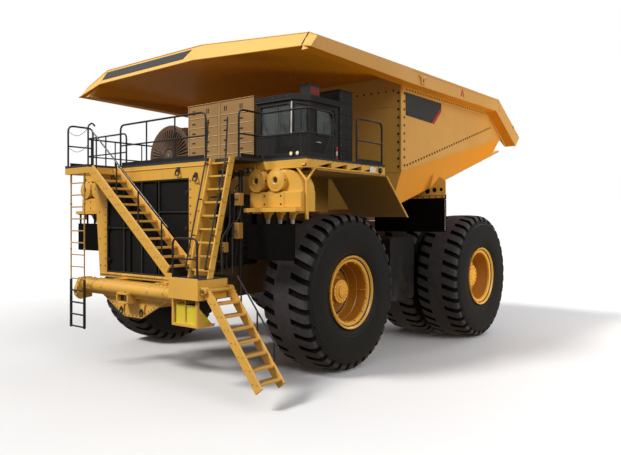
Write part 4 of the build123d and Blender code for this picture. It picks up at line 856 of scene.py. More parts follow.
def makeGrilleTrim():
    low, high = grilleLow, grilleHigh
    face = low.y + 0.01
    half, fromEnd = grilleSet["frameHalf"], grilleSet["hingeFromEnd"]
    bm = bmesh.new()
    # Slim frame round the screen, and the joints between its doors
    for z in (low.z + 0.02, high.z - 0.02):
        addBox(bm, (low.x, face - 0.02, z - half), (high.x, face + 0.03, z + half), 0.006)
    for x in (low.x + 0.02, high.x - 0.02):
        addBox(bm, (x - half, face - 0.022, low.z), (x + half, face + 0.03, high.z), 0.006)
    for x in grilleSet["doorJoints"]:
        addBox(bm, (x - 0.013, face - 0.024, low.z), (x + 0.013, face + 0.02, high.z), 0.004, 1)
    addBox(bm, (low.x, face - 0.018, 3.64), (-0.16, face + 0.02, 3.66), 0.004, 1)
    addBox(bm, (0.54, face - 0.018, 4.05), (high.x, face + 0.02, 4.07), 0.004, 1)
    # Door hinges and latches
    for x, hand in ((low.x + 0.05, 1), (high.x - 0.05, -1)):
        for z in (low.z + fromEnd, (low.z + high.z) / 2, high.z - fromEnd):
            addCone(bm, (x, face - 0.04, z - 0.06), (x, face - 0.04, z + 0.06), 0.016, 0.016, 12, 0.003)
            addBox(bm, (x, face - 0.04, z - 0.04), (x + hand * 0.1, face - 0.028, z + 0.04), 0.003)
    finishPiece(bm, "grilleTrim", "chassis", [blackPaint, castDark])


housingSet = {"postBolts": 12, "bolt": 0.017, "bead": 0.035, "lugs": ((1.33, 5.08), (1.97, 4.92)),
              "sillBolts": 12}


def makeHousingTrim():
    front, bolt = houseFront, housingSet["bolt"]
    bm = bmesh.new()
    # Bolt lines on the door frames of the posts: a row along each inner edge, and single bolts down the outer side
    for side in (-1, 1):
        rowOfBolts(bm, (side * 1.755, front, 2.62), (side * 1.755, front, 4.8), (0, -1, 0),
                   housingSet["postBolts"], bolt, 0.014, 1)
        for z in (2.62, 3.35, 4.08, 4.72):
            addBolt(bm, (side * (1.98 + 0.115 * (z - 2.4) / 2.9), front, z), (0, -1, 0), bolt, 0.014, 1)
        # Round corner bead down the outer edge
        addTube(bm, [(side * 2.02, front + 0.03, 2.44), (side * 2.285, front + 0.03, 5.18)],
                housingSet["bead"], 0.02, 12)
        # Lifting lugs with hanging rings on the beam and at the head of each post
        for x, z in housingSet["lugs"]:
            outline = ((-0.05, -0.05), (0.05, -0.05), (0.035, 0.07), (-0.035, 0.07))
            addPlate(bm, [(side * (x + dx), front - 0.004, z + dz) for dx, dz in outline], (0, -0.04, 0),
                     0.006, 2)
            ring = ((-0.03, 0.055, 0.01), (-0.085, 0.06, -0.13), (0.085, 0.06, -0.13), (0.03, 0.055, 0.01))
            addTube(bm, [(side * (x + dx), front - dy, z + dz) for dx, dy, dz in ring], 0.016, 0.05, 8, 2)
    # A bead below the deck
    addBox(bm, (-2.24, front - 0.018, 5.135), (2.24, front + 0.02, 5.165), 0.006)
    # Sill under the screen
    addBox(bm, (-2.0, front - 0.03, 2.385), (2.0, front + 0.02, 2.43), 0.008)
    rowOfBolts(bm, (-1.6, front - 0.004, 2.41), (1.6, front - 0.004, 2.41), (0, -1, 0),
               housingSet["sillBolts"], 0.012, 0.036, 1)
    finishPiece(bm, "housingTrim", "chassis", [bodyYellow, boltSteel, castDark])


skinSet = {"bays": 3, "bayPitch": 1.05, "slats": 8, "slatPitch": 0.135, "pipes": 8, "pipePitch": 0.4}


def makeSideSkins():
    # Louvred side skins of the engine and its row of pipe stubs, seen past the ladder
    low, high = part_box("engine_block")
    bm = bmesh.new()
    for x, side in ((low.x, -1), (high.x, 1)):
        for bay in range(skinSet["bays"]):
            y = low.y + 0.35 + bay * skinSet["bayPitch"]
            addBox(bm, (x, y, high.z - 1.5), (x + side * 0.03, y + 0.8, high.z - 0.25), 0.01)
            for slat in range(skinSet["slats"]):
                z = high.z - 1.38 + slat * skinSet["slatPitch"]
                addBox(bm, (x + side * 0.02, y + 0.06, z), (x + side * 0.055, y + 0.74, z + 0.03), 0.006, 1)
        for pipe in range(skinSet["pipes"]):
            y = low.y + 0.4 + pipe * skinSet["pipePitch"]
            addCone(bm, (x, y, low.z + 0.55), (x + side * 0.12, y, low.z + 0.62), 0.11, 0.085, 16, 0.01, 1)
    finishPiece(bm, "engineSkins", "chassis", [castDark, blackPaint])


pipeSet = {
    # sideways, backward, height of the upper bend
    "lines": ((0.0, 0.05, 4.85), (0.07, 0.1, 4.7), (0.16, 0.22, 4.95), (0.24, 0.3, 4.6), (0.31, 0.42, 4.9),
              (-0.1, 0.45, 4.8)),
    "brackets": (2.9, 3.3, 3.9, 4.4),
    "boxes": (((2.66, -5.62, 4.2), (2.84, -5.46, 4.5)), ((2.64, -5.62, 3.42), (2.82, -5.46, 3.8)),
              ((2.44, -5.86, 3.1), (2.6, -5.72, 3.34))),
    "filters": ((2.3, -5.5, 3.95), (2.48, -5.44, 3.9), (2.38, -5.4, 3.05)),
}


def makeFrontPipes():
    # Hydraulic lines, brackets, boxes and filters between the front post and the left tyre
    bm = bmesh.new()
    front = houseFront + 0.1
    x = 2.34
    for number, (dx, dy, top) in enumerate(pipeSet["lines"]):
        foot, bent = Vector((x + dx, front + dy, 0)), Vector((x + dx + 0.1, front + dy + 0.16, 0))
        rise = 0.12 * number
        path = [foot + Vector((0, 0, 2.6)), foot + Vector((0, 0, 3.2 + rise)),
                bent + Vector((0, 0, 3.5 + rise)), bent + Vector((0, 0, top)),
                foot + Vector((-0.1, 0.5, top + 0.12))]
        addTube(bm, path, 0.016 + 0.004 * (number % 3), 0.12, 10, number % 2)
    for z in pipeSet["brackets"]:
        addBox(bm, (x - 0.06, front + 0.02, z - 0.018), (x + 0.34, front + 0.08, z + 0.018), 0.005, 0)
    for low, high in pipeSet["boxes"]:
        low, high = Vector(low), Vector(high)
        addBox(bm, low, high, 0.014, 2)
        for number in range(3):
            addBolt(bm, (low.x + 0.045 + number * 0.045, low.y, (low.z + high.z) / 2), (0, -1, 0), 0.01,
                    0.02, 1)
        addTube(bm, [low + Vector((0.05, 0.08, 0)), low + Vector((0.05, 0.08, -0.3)),
                     low + Vector((-0.12, 0.2, -0.5)), (low.x - 0.12, low.y + 0.2, 2.62)], 0.014, 0.1, 8, 1)
    # Filters behind the lines
    for spot in pipeSet["filters"]:
        neck = Vector(spot) + Vector((0, 0, 0.34))
        addCone(bm, spot, neck, 0.075, 0.075, 20, 0.015, 1)
        addCone(bm, neck, neck + Vector((0, 0, 0.06)), 0.09, 0.085, 20, 0.006, 0)
    # Bracket that carries the lines off the frame
    addBox(bm, (1.2, front + 0.5, 2.4), (x + 0.2, front + 0.62, 2.52), 0.01, 1)
    addBox(bm, (x + 0.3, front + 0.62, 2.52), (x + 0.38, front + 0.7, 5.05), 0.01, 1)
    finishPiece(bm, "frontPipes", "chassis", [castDark, blackPaint, frameYellow])


bumperSet = {"barY": -6.69, "barZ": 2.14, "clamps": (-1.55, -0.95, 0.95, 1.55), "skirtBolts": 9,
             "eyeBolts": 7}


def makeBumperTrim():
    bm = bmesh.new()
    barY, barZ = bumperSet["barY"], bumperSet["barZ"]
    skirtY = barY + 0.14
    for x in bumperSet["clamps"]:
        addCone(bm, (x - 0.03, barY, barZ), (x + 0.03, barY, barZ), 0.159, 0.159, 32, 0.006, 0)
        addBolt(bm, (x, barY - 0.155, barZ), (0, -1, 0), 0.014, 0.012, 1)
    addCone(bm, (1.865, barY, barZ), (1.905, barY, barZ), 0.154, 0.146, 32, 0.006)
    # Towing socket: lining, pin and bolted frame
    addBox(bm, (-0.19, barY - 0.075, 1.85), (0.19, barY - 0.062, 2.01), 0.002, 2)
    addCone(bm, (0.08, barY - 0.13, 1.78), (0.08, barY - 0.13, 2.1), 0.024, 0.024, 18, 0.006, 1)
    for x, z in ((-0.217, 1.822), (0.217, 1.822), (-0.217, 2.038), (0.217, 2.038)):
        addBolt(bm, (x, barY - 0.18, z), (0, -1, 0), 0.013, 0.01, 1)
    # Hanger plates and shackles on the skirt, and its bolt lines
    for side in (-1, 1):
        outline = ((0.3, 1.78), (0.54, 1.78), (0.49, 1.56), (0.35, 1.56))
        addPlate(bm, [(side * x, skirtY, z) for x, z in outline], (0, -0.035, 0), 0.006)
        addCone(bm, (side * 0.42, barY + 0.09, 1.63), (side * 0.42, barY + 0.12, 1.63), 0.045, 0.045, 20,
                0.004, 2)
        addTube(bm, [(side * 0.42 - 0.045, barY + 0.09, 1.63), (side * 0.42 - 0.05, barY + 0.08, 1.49),
                     (side * 0.42 + 0.05, barY + 0.08, 1.49), (side * 0.42 + 0.045, barY + 0.09, 1.63)],
                0.014, 0.05, 10, 2)
        rowOfBolts(bm, (side * 1.3, skirtY, 1.95), (side * 0.42, skirtY, 1.507), (0, -1, 0),
                   bumperSet["skirtBolts"], 0.014, 0.012, 1)
        for x in (1.15, 1.45):
            addTube(bm, [(side * x - 0.06, barY, 2.28), (side * x - 0.06, barY, 2.36),
                         (side * x + 0.06, barY, 2.36), (side * x + 0.06, barY, 2.28)], 0.013, 0.04, 8, 0)
    rowOfBolts(bm, (-0.3, skirtY, 1.46), (0.3, skirtY, 1.46), (0, -1, 0), 5, 0.014, 0.012, 1)
    # Tow plate at the right end: bolts round its eye
    mountAt = {m["name"]: Vector(m["pos_m"]) for m in frame["record"]["mounts"]}
    eye = Vector((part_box("front_bumper")[0].x, *mountAt["tow_eye"].yz))
    ringOfBolts(bm, eye, -1, -0.001, 0.085, bumperSet["eyeBolts"], 0.008, 0.008, 1)
    finishPiece(bm, "bumperTrim", "chassis", [bodyYellow, boltSteel, blackPaint])


makeGrilleTrim()
makeHousingTrim()
makeSideSkins()
makeFrontPipes()
makeBumperTrim()
print("stage: front trimmed")


# Bumper platform: tread plate, chock carriers, hinge caps
hingeX, hingeZ = jointAt["access_stair_lift"].xz
platformZ = 2.56


def makePlatformTrim():
    bm = bmesh.new()
    front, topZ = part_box("bumper_platform")[0].y, platformZ
    addBox(bm, (2.09, front + 0.012, topZ), (3.05, -6.22, topZ + 0.012), 0.003, 1)
    addBox(bm, (2.08, front, topZ - 0.002), (3.06, front + 0.012, topZ + 0.03), 0.003)
    # Chock carriers: side straps, gussets and upright bars
    chockLow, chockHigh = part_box("wheel_chocks")
    for x in (chockLow.x - 0.03, (chockLow.x + chockHigh.x) / 2, chockHigh.x + 0.03):
        addBox(bm, (x - 0.01, chockLow.y - 0.002, chockLow.z - 0.012), (x + 0.01, chockHigh.y + 0.01, 1.55),
               0.004)
        addPlate(bm, [(x - 0.01, chockLow.y, 1.55), (x - 0.01, chockLow.y + 0.16, 1.55),
                      (x - 0.01, chockLow.y, 1.98)], (0.02, 0, 0), 0.003)
        addTube(bm, [(x, chockLow.y - 0.025, 1.62), (x, chockLow.y - 0.025, 2.11)], 0.012, 0.02, 8, 0)
    # Caps of the stair's hinge
    for y in (-7.02, -6.16):
        addCone(bm, (hingeX, y - 0.03, hingeZ), (hingeX, y + 0.03, hingeZ), 0.045, 0.045, 20, 0.006, 2)
    finishPiece(bm, "platformTrim", "chassis", [bodyYellow, deckGrip, boltSteel])


chockSet = {"centres": (2.3, 2.67), "ribs": (0.2, 0.4, 0.6, 0.8)}


def makeChockTrim():
    # Ribs and a lifting handle on the sloping back of each chock
    low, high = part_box("wheel_chocks")
    bm = bmesh.new()
    for x in chockSet["centres"]:
        for share in chockSet["ribs"]:
            y = low.y + (high.y - low.y) * share
            z = high.z - (high.z - low.z) * share
            addBox(bm, (x - 0.14, y - 0.012, z - 0.01), (x + 0.14, y + 0.014, z + 0.01), 0.004)
        handle = ((-0.06, 0.03, -0.035), (-0.06, 0.05, 0.035), (0.06, 0.05, 0.035), (0.06, 0.03, -0.035))
        addTube(bm, [(x + dx, low.y + dy, high.z + dz) for dx, dy, dz in handle], 0.01, 0.03, 8, 1)
    finishPiece(bm, "chockRibs", "chassis", [chockPaint, blackPaint])


makePlatformTrim()
makeChockTrim()
print("stage: platform trimmed")


# Stairs: worn treads with bright nosings and bolted tread ends
stairSet = {
    # piece, body, head, foot, treads, outer faces of the strings, half height of a string
    "front": ("frontStairTrim", "chassis", (-1.11, 0, 5.17), (1.96, 0, 2.7), 12, (-7.04, -6.26), 0.128),
    "access": ("accessStairTrim", "access_stair", (hingeX + 0.13, 0, hingeZ - 0.14), (4.72, 0, 0.42), 7,
               (-6.95, -6.22), 0.098),
    "stringIn": 0.052,          # from a string's outer face to the end of a tread
}


def addTreads(bm, head, foot, count, strings, halfString):
    run = foot - head
    lowY, highY = strings
    nearY, farY = lowY + stairSet["stringIn"], highY - stairSet["stringIn"]
    for number in range(count):
        spot = head + run * ((number + 0.5) / count)
        addBox(bm, (spot.x - 0.112, nearY, spot.z + 0.019), (spot.x + 0.112, farY, spot.z + 0.026), 0.0, 1)
        addBox(bm, (spot.x + 0.1, nearY, spot.z - 0.024), (spot.x + 0.12, farY, spot.z + 0.029), 0.003)
        for y, out in ((lowY, -1), (highY, 1)):
            for dx in (-0.06, 0.06):
                addBolt(bm, (spot.x + dx, y, spot.z), (0, out, 0), 0.01, 0.009, 2)
    along = run.normalized()
    over = Vector((-along.z, 0, along.x)) if along.x > 0 else Vector((along.z, 0, -along.x))
    for y in (lowY + 0.025, highY - 0.025):
        for edge in (-1, 1):
            start, end = head + over * halfString * edge, foot + over * halfString * edge
            end -= along * 0.01
            addTube(bm, [(start.x, y, start.z), (end.x, y, end.z)], 0.012, 0.0, 8)


for stair in ("front", "access"):
    pieceName, body, head, foot, count, strings, halfString = stairSet[stair]
    flight = bmesh.new()
    addTreads(flight, Vector(head), Vector(foot), count, strings, halfString)
    finishPiece(flight, pieceName, body, [bodyYellow, frameYellow, boltSteel])
print("stage: stairs trimmed")


# Guard rails: bent tube with round corners, posts on bolted feet, toe boards
railSet = {
    "height": 1.1, "tube": 0.02, "post": 0.025, "bend": 0.16, "step": 1.1, "inset": 0.06,
    "fromCorner": 0.17,             # the post beside each bend
    "toe": Vector((0, 0, 0.1)),
    "chainSag": 0.16, "chainHeights": (0.95, 0.52),
}


def addGuard(bm, corners, base, height, footed=True):
    corners = [Vector((x, y, base)) for x, y in corners]
    rise = Vector((0, 0, height))
    addTube(bm, [corners[0]] + [c + rise for c in corners] + [corners[-1]], railSet["post"],
            railSet["bend"], 12)
    addTube(bm, [c + rise * 0.5 for c in corners], railSet["tube"], 0.1, 10)
    feet = [corners[0], corners[-1]]
    for start, end in zip(corners, corners[1:]):
        count = max(1, round((end - start).length / railSet["step"]))
        for number in range(1, count):
            spot = start.lerp(end, number / count)
            addTube(bm, [spot, spot + rise], railSet["tube"], 0.02, 10)
            feet.append(spot)
        if end is not corners[-1]:
            back = end + (start - end).normalized() * railSet["fromCorner"]
            addTube(bm, [back, back + rise], railSet["tube"], 0.02, 10)
            feet.append(back)
    if footed:
        for spot in feet:
            addBox(bm, spot - Vector((0.055, 0.055, 0)), spot + Vector((0.055, 0.055, 0.012)), 0.003)
            for dx, dy in ((-0.04, -0.04), (0.04, 0.04)):
                addBolt(bm, spot + Vector((dx, dy, 0.012)), (0, 0, 1), 0.009, 0.01, 1)
        for start, end in zip(corners, corners[1:]):
            way = (end - start).normalized()
            flat = Vector((-way.y, way.x, 0)) * 0.004
            near, far = start + way * 0.06 - flat, end - way * 0.06 - flat
            addPlate(bm, [near, far, far + railSet["toe"], near + railSet["toe"]], flat * 2, 0.0)


def makeRails():
    bm = bmesh.new()
    inset = railSet["inset"]
    half = deckHigh.x - inset
    wing, back, nose = -5.14 + inset, deckHigh.y - inset, frontAxle.y - 3.38 + inset
    for corners in ([(-half, back), (-half, wing), (-2.35, wing)], [(-1.15, nose), (2.23, nose)],
                    [(3.09, -5.88), (3.09, wing), (half, wing), (half, frontAxle.y - 1.3)],
                    [(half, frontAxle.y - 0.32), (half, back)], [(-2.28, nose - 0.12), (-2.28, -6.98)]):
        addGuard(bm, corners, deckZ, railSet["height"])
    addGuard(bm, [(2.18, -7.05), (3.00, -7.05)], platformZ, 0.9, False)
    # Hooked post and a safety chain across the head of the escape ladder
    addTube(bm, [(-1.32, -6.98, deckZ), (-1.32, -6.98, deckZ + 1.02), (-1.32, -6.86, deckZ + 1.1),
                 (-1.32, -6.78, deckZ + 1.02)], 0.022, 0.08, 10)
    addBox(bm, (-1.375, -7.035, deckZ), (-1.265, -6.925, deckZ + 0.012), 0.003)
    for height in railSet["chainHeights"]:
        points = []
        for share in (0, 0.17, 0.34, 0.5, 0.66, 0.83, 1):
            sag = railSet["chainSag"] * math.sin(math.pi * share)
            points.append((-2.28 + 0.96 * share, -6.98, deckZ + height - sag))
        addTube(bm, points, 0.007, 0.05, 6, 1)
    finishPiece(bm, "guardRails", "chassis", [blackPaint, boltSteel], ("deck_handrails",))


makeRails()
print("stage: guard rails made")


# Escape ladder: thin round rails and rungs, a heavier sprung section at the foot
ladderSet = {"rail": 0.019, "rungs": 13, "rungPitch": 0.315, "heavyBelow": 2.2, "deckRungs": 9}


def makeEscapeLadder():
    low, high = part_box("escape_ladder")
    y = (low.y + high.y) / 2
    bm = bmesh.new()
    for x in (low.x + 0.02, high.x - 0.02):
        addTube(bm, [(x, y, 2.25), (x, y, high.z - 0.02)], ladderSet["rail"], 0.03, 10)
        addTube(bm, [(x, y, high.z - 0.25), (x, y, high.z)], 0.026, 0.03, 10)
        addBox(bm, (x - 0.02, y - 0.033, low.z + 0.01), (x + 0.02, y + 0.033, 2.3), 0.006, 2)
        addCone(bm, (x, y, low.z + 0.001), (x, y, low.z + 0.02), 0.018, 0.018, 12, 0, 2)
        for z in (2.12, 2.26):
            addBolt(bm, (x, y - 0.033, z), (0, -1, 0), 0.011, 0.002, 1)
        for z in (3.1, 4.3):
            addCone(bm, (x, y, z - 0.03), (x, y, z + 0.03), 0.025, 0.025, 12, 0.003)
    for number in range(ladderSet["rungs"]):
        z = low.z + 0.04 + number * ladderSet["rungPitch"]
        size, slot = (0.016, 0) if z > ladderSet["heavyBelow"] else (0.022, 2)
        addTube(bm, [(low.x + 0.02, y, z), (high.x - 0.02, y, z)], size, 0.02, 10, slot)
    finishPiece(bm, "escapeLadder", "chassis", [frameYellow, boltSteel, blackPaint],
                ("escape_ladder",))


makeEscapeLadder()


def makeLadderTrim():
    # Worn rungs with bright edges, and bolts through the strings of the deck ladder
    bm = bmesh.new()
    foot, head = Vector((0, -6.69, platformZ)), Vector((0, -6.01, 5.3))
    for rung in range(ladderSet["deckRungs"]):
        spot = foot.lerp(head, (rung + 0.6) / ladderSet["deckRungs"])
        addBox(bm, (2.385, spot.y - 0.047, spot.z + 0.016), (2.975, spot.y + 0.045, spot.z + 0.021), 0.0, 1)
        addBox(bm, (2.385, spot.y - 0.052, spot.z - 0.021), (2.975, spot.y - 0.044, spot.z + 0.022), 0.002)
        for x, out in ((2.33, -1), (3.03, 1)):
            for dy in (-0.025, 0.025):
                addBolt(bm, (x, spot.y + dy, spot.z), (out, 0, 0), 0.01, 0.009, 2)
    finishPiece(bm, "deckLadderTrim", "chassis", [bodyYellow, frameYellow, boltSteel])


makeLadderTrim()
print("stage: ladders made")


# Cab: seams, gaskets, pale corner post, wipers, lamps, door furniture
cabX0, cabX1, bendX = cabLow.x + 0.035, cabHigh.x - 0.035, 3.75
cabFrontY, cabRearY = frontAxle.y - 2.0, frontAxle.y - 0.42
cornerY = frontAxle.y - 1.55
cabSet = {
    "sill": 5.33, "glassLow": 5.92, "glassHigh": 6.62, "gutter": 6.715, "roof": 6.85,
    "gasket": 0.03, "gutterBead": 0.014, "roofRibs": (0.25, 0.55, 0.85), "rearVents": 6,
}


def addGasket(bm, start, end, out):
    # A raised strip round the pane between two posts, drawn as a bent bar through its corners
    low, high = Vector((0, 0, cabSet["glassLow"])), Vector((0, 0, cabSet["glassHigh"]))
    middle = (start + end) / 2 + low
    loop = [middle, end + low, end + high, start + high, start + low, middle]
    addTube(bm, [c + out for c in loop], cabSet["gasket"] / 2, 0.05, 8)


def makeCabTrim():
    bm = bmesh.new()
    y, sillZ, roofZ = cabFrontY, cabSet["sill"], cabSet["roof"]
    # Windscreen and corner gaskets
    addGasket(bm, Vector((cabX0 + 0.11, y, 0)), Vector((bendX - 0.04, y, 0)), Vector((0, -0.004, 0)))
    bendSpot, sideSpot = Vector((bendX, y, 0)), Vector((cabX1, cornerY, 0))
    way = (sideSpot - bendSpot).normalized()
    addGasket(bm, bendSpot + way * 0.06, sideSpot - way * 0.06, Vector((way.y, -way.x, 0)) * 0.004)
    # Vertical seams and a sill bead on the lower body
    for share in (0.12, 0.36, 0.62, 0.88):
        x = cabX0 + (bendX - cabX0) * share
        addBox(bm, (x - 0.006, y - 0.006, sillZ), (x + 0.006, y + 0.01, 5.85), 0.002)
    for share in (0.15, 0.85):
        spot = bendSpot.lerp(sideSpot, share)
        addTube(bm, [spot + Vector((0, 0, sillZ)), spot + Vector((0, 0, 5.85))], 0.007, 0.02, 6)
    outline = [(cabX0, y), (bendX, y), (cabX1, cornerY), (cabX1, cabRearY), (cabX0, cabRearY), (cabX0, y)]
    for z, size, corners in ((5.325, 0.018, outline), (5.875, 0.012, outline[:3])):
        addTube(bm, [(cornerX, atY, z) for cornerX, atY in corners], size, 0.01, 8)
    # Gutter round the roof cap and its bolts
    leftX, rightX, rearY = cabX0 - 0.035, cabX1 + 0.035, cabRearY + 0.035
    cap = [(leftX, y - 0.035), (bendX + 0.022, y - 0.035), (rightX, cornerY - 0.01), (rightX, rearY),
           (leftX, rearY), (leftX, y - 0.035)]
    addTube(bm, [(capX, capY, cabSet["gutter"]) for capX, capY in cap], cabSet["gutterBead"], 0.01, 8)
    for share in (0.1, 0.5, 0.9):
        addBolt(bm, (cabX0 + (bendX - cabX0) * share, y - 0.035, 6.79), (0, -1, 0), 0.01, 0.008, 2)
    # Roof: shallow ribs and an air unit
    for x in cabSet["roofRibs"]:
        addBox(bm, (cabX0 + x - 0.05, y + 0.2, roofZ), (cabX0 + x + 0.05, cabRearY - 0.15, roofZ + 0.012),
               0.004)
    addBox(bm, (cabX0 + 0.12, cabRearY - 0.75, roofZ), (cabX0 + 0.75, cabRearY - 0.1, 7.03), 0.03)
    for number in range(5):
        addBox(bm, (cabX0 + 0.18 + number * 0.1, cabRearY - 0.758, 6.89),
               (cabX0 + 0.235 + number * 0.1, cabRearY - 0.745, 6.99), 0.003, 2)
    # Pale slanted post at the bend of the glass
    post = ((-0.03, 5.9), (0.008, 5.9), (0.022, 6.66), (-0.014, 6.66))
    addPlate(bm, [(bendX + dx, y - 0.012, z) for dx, z in post], (0, 0.01, 0), 0.003, 1)
    # Wipers
    for x, lean in ((cabX0 + 0.38, 0.24), (bendX - 0.16, 0.22)):
        addTube(bm, [(x, y - 0.012, 5.89), (x, y - 0.035, 5.95), (x - lean, y - 0.035, 6.36)], 0.008, 0.03, 8)
        addBox(bm, (x - lean - 0.008, y - 0.04, 6.14), (x - lean + 0.008, y - 0.026, 6.56), 0.002)
    # Vents on the rear wall
    for number in range(cabSet["rearVents"]):
        z = 6.05 + number * 0.07
        addBox(bm, (cabX0 + 0.15, cabRearY - 0.004, z), (cabX0 + 0.8, cabRearY + 0.016, z + 0.03), 0.005)
    finishPiece(bm, "cabTrim", "chassis", [blackPaint, paleStrip, boltSteel])


lampSet = {"deckPair": (4.0, 4.19), "deckZ": 5.385, "lowPair": (2.67, 2.83), "lowZ": 5.05,
           "markers": (-4.42, 4.42)}


def makeCabLamps():
    # Round lamps on the deck's edge, the pair on its bracket below, and red and white reflectors
    bm = bmesh.new()
    y, z = -5.1, lampSet["deckZ"]
    for x in lampSet["deckPair"]:
        addCone(bm, (x, y + 0.05, z), (x, y - 0.01, z), 0.044, 0.056, 24, 0.006)
        addCone(bm, (x, y - 0.004, z), (x, y - 0.016, z), 0.048, 0.042, 24, 0.004, 1)
        addCone(bm, (x, y + 0.02, 5.3), (x, y + 0.02, 5.34), 0.014, 0.014, 8)
    y, z = -5.16, lampSet["lowZ"]
    addBox(bm, (2.56, y - 0.012, 4.94), (2.94, y + 0.006, 5.23), 0.008, 2)
    for x in lampSet["lowPair"]:
        addCone(bm, (x, y - 0.005, z), (x, y - 0.075, z), 0.062, 0.068, 24, 0.006)
        addCone(bm, (x, y - 0.072, z), (x, y - 0.08, z), 0.054, 0.05, 24, 0.003, 3)
    for z, index in ((5.36, 4), (5.48, 5), (5.6, 4)):
        addBox(bm, (3.948, -3.3, z), (3.956, -3.24, z + 0.11), 0.002, index)
    # Amber marker lamps on the corners of the deck
    for x in lampSet["markers"]:
        addBox(bm, (x - 0.06, -5.165, 5.09), (x + 0.06, -5.135, 5.15), 0.008, 0)
        addBox(bm, (x - 0.05, -5.175, 5.098), (x + 0.05, -5.16, 5.142), 0.006, 6)
    finishPiece(bm, "deckLamps", "chassis",
                [blackPaint, lampPale, bodyYellow, lampClear, signRed, paleStrip, lampAmber])


lampClear = lampGlass("lampClear", (0.3, 0.3, 0.28), 0.0)


def makeDoorTrim():
    bm = bmesh.new()
    low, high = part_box("cab_door")
    x = high.x
    windowLow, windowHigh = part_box("cab_door_window")
    # Gasket with a large round at its upper rear corner, and the web that fills the corner
    rearY, topZ = windowHigh.y, windowHigh.z
    middle = ((windowLow.y + rearY) / 2, windowLow.z)
    turn = [(rearY, topZ - 0.26), (rearY - 0.07, topZ - 0.07), (rearY - 0.26, topZ)]
    ring = [middle, (rearY, windowLow.z), *turn, (windowLow.y, topZ), (windowLow.y, windowLow.z), middle]
    addTube(bm, [(x + 0.004, y, z) for y, z in ring], 0.016, 0.06, 8)
    web = [turn[0], (rearY + 0.01, topZ), turn[2], turn[1]]
    addPlate(bm, [(x - 0.012, y, z) for y, z in web], (0.012, 0, 0), 0.0)
    # Raised panel, lever handle, hinges
    addBox(bm, (x, low.y + 0.08, low.z + 0.06), (x + 0.006, high.y - 0.08, 5.86), 0.004)
    addTube(bm, [(x, low.y + 0.06, 5.74), (x + 0.05, low.y + 0.06, 5.74), (x + 0.05, low.y + 0.22, 5.74),
                 (x, low.y + 0.22, 5.74)], 0.01, 0.03, 8, 1)
    for z in (low.z + 0.18, (low.z + high.z) / 2, high.z - 0.18):
        hinge = Vector((x + 0.012, high.y - 0.012, z))
        addCone(bm, hinge - Vector((0, 0, 0.05)), hinge + Vector((0, 0, 0.05)), 0.016, 0.016, 12, 0.003)
    # Long bent grab rail
    addTube(bm, [(x, high.y - 0.12, 6.56), (x + 0.07, high.y - 0.1, 6.56), (x + 0.07, high.y - 0.05, 6.3),
                 (x + 0.07, high.y - 0.52, 5.5), (x, high.y - 0.54, 5.47)], 0.013, 0.09, 10)
    finishPiece(bm, "cabDoorTrim", "cab_door", [blackPaint, paleStrip])


def makeCabinetTrim():
    # Black service cabinet behind the cab: a grid of raised doors
    low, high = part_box("cab_rear_cabinet")
    bm = bmesh.new()
    rows = 6
    tall = (high.z - low.z) / rows
    middle = (low + high) / 2
    for row in range(rows):
        z0, z1 = low.z + tall * row + 0.012, low.z + tall * (row + 1) - 0.012
        for y0, y1 in ((low.y + 0.01, middle.y - 0.006), (middle.y + 0.006, high.y - 0.01)):
            addBox(bm, (high.x - 0.004, y0, z0), (high.x + 0.012, y1, z1), 0.004)
        for x0, x1 in ((low.x + 0.01, middle.x - 0.006), (middle.x + 0.006, high.x - 0.01)):
            addBox(bm, (x0, low.y - 0.012, z0), (x1, low.y + 0.004, z1), 0.004)
            addBox(bm, (x0, high.y - 0.004, z0), (x1, high.y + 0.012, z1), 0.004)
        latchZ = (z0 + z1) / 2
        addBox(bm, (high.x + 0.01, low.y + 0.05, latchZ - 0.03),
               (high.x + 0.022, low.y + 0.07, latchZ + 0.03),
               0.003, 1)
    addBox(bm, (low.x - 0.02, low.y - 0.02, high.z), (high.x + 0.02, high.y + 0.02, high.z + 0.02), 0.006)
    finishPiece(bm, "rearCabinetTrim", "chassis", [blackPaint, boltSteel])


stationSet = {"seatX": 3.3, "seatBack": 0.885, "wheelRadius": 0.195, "wheelRim": 0.014, "wheelTilt": 45}


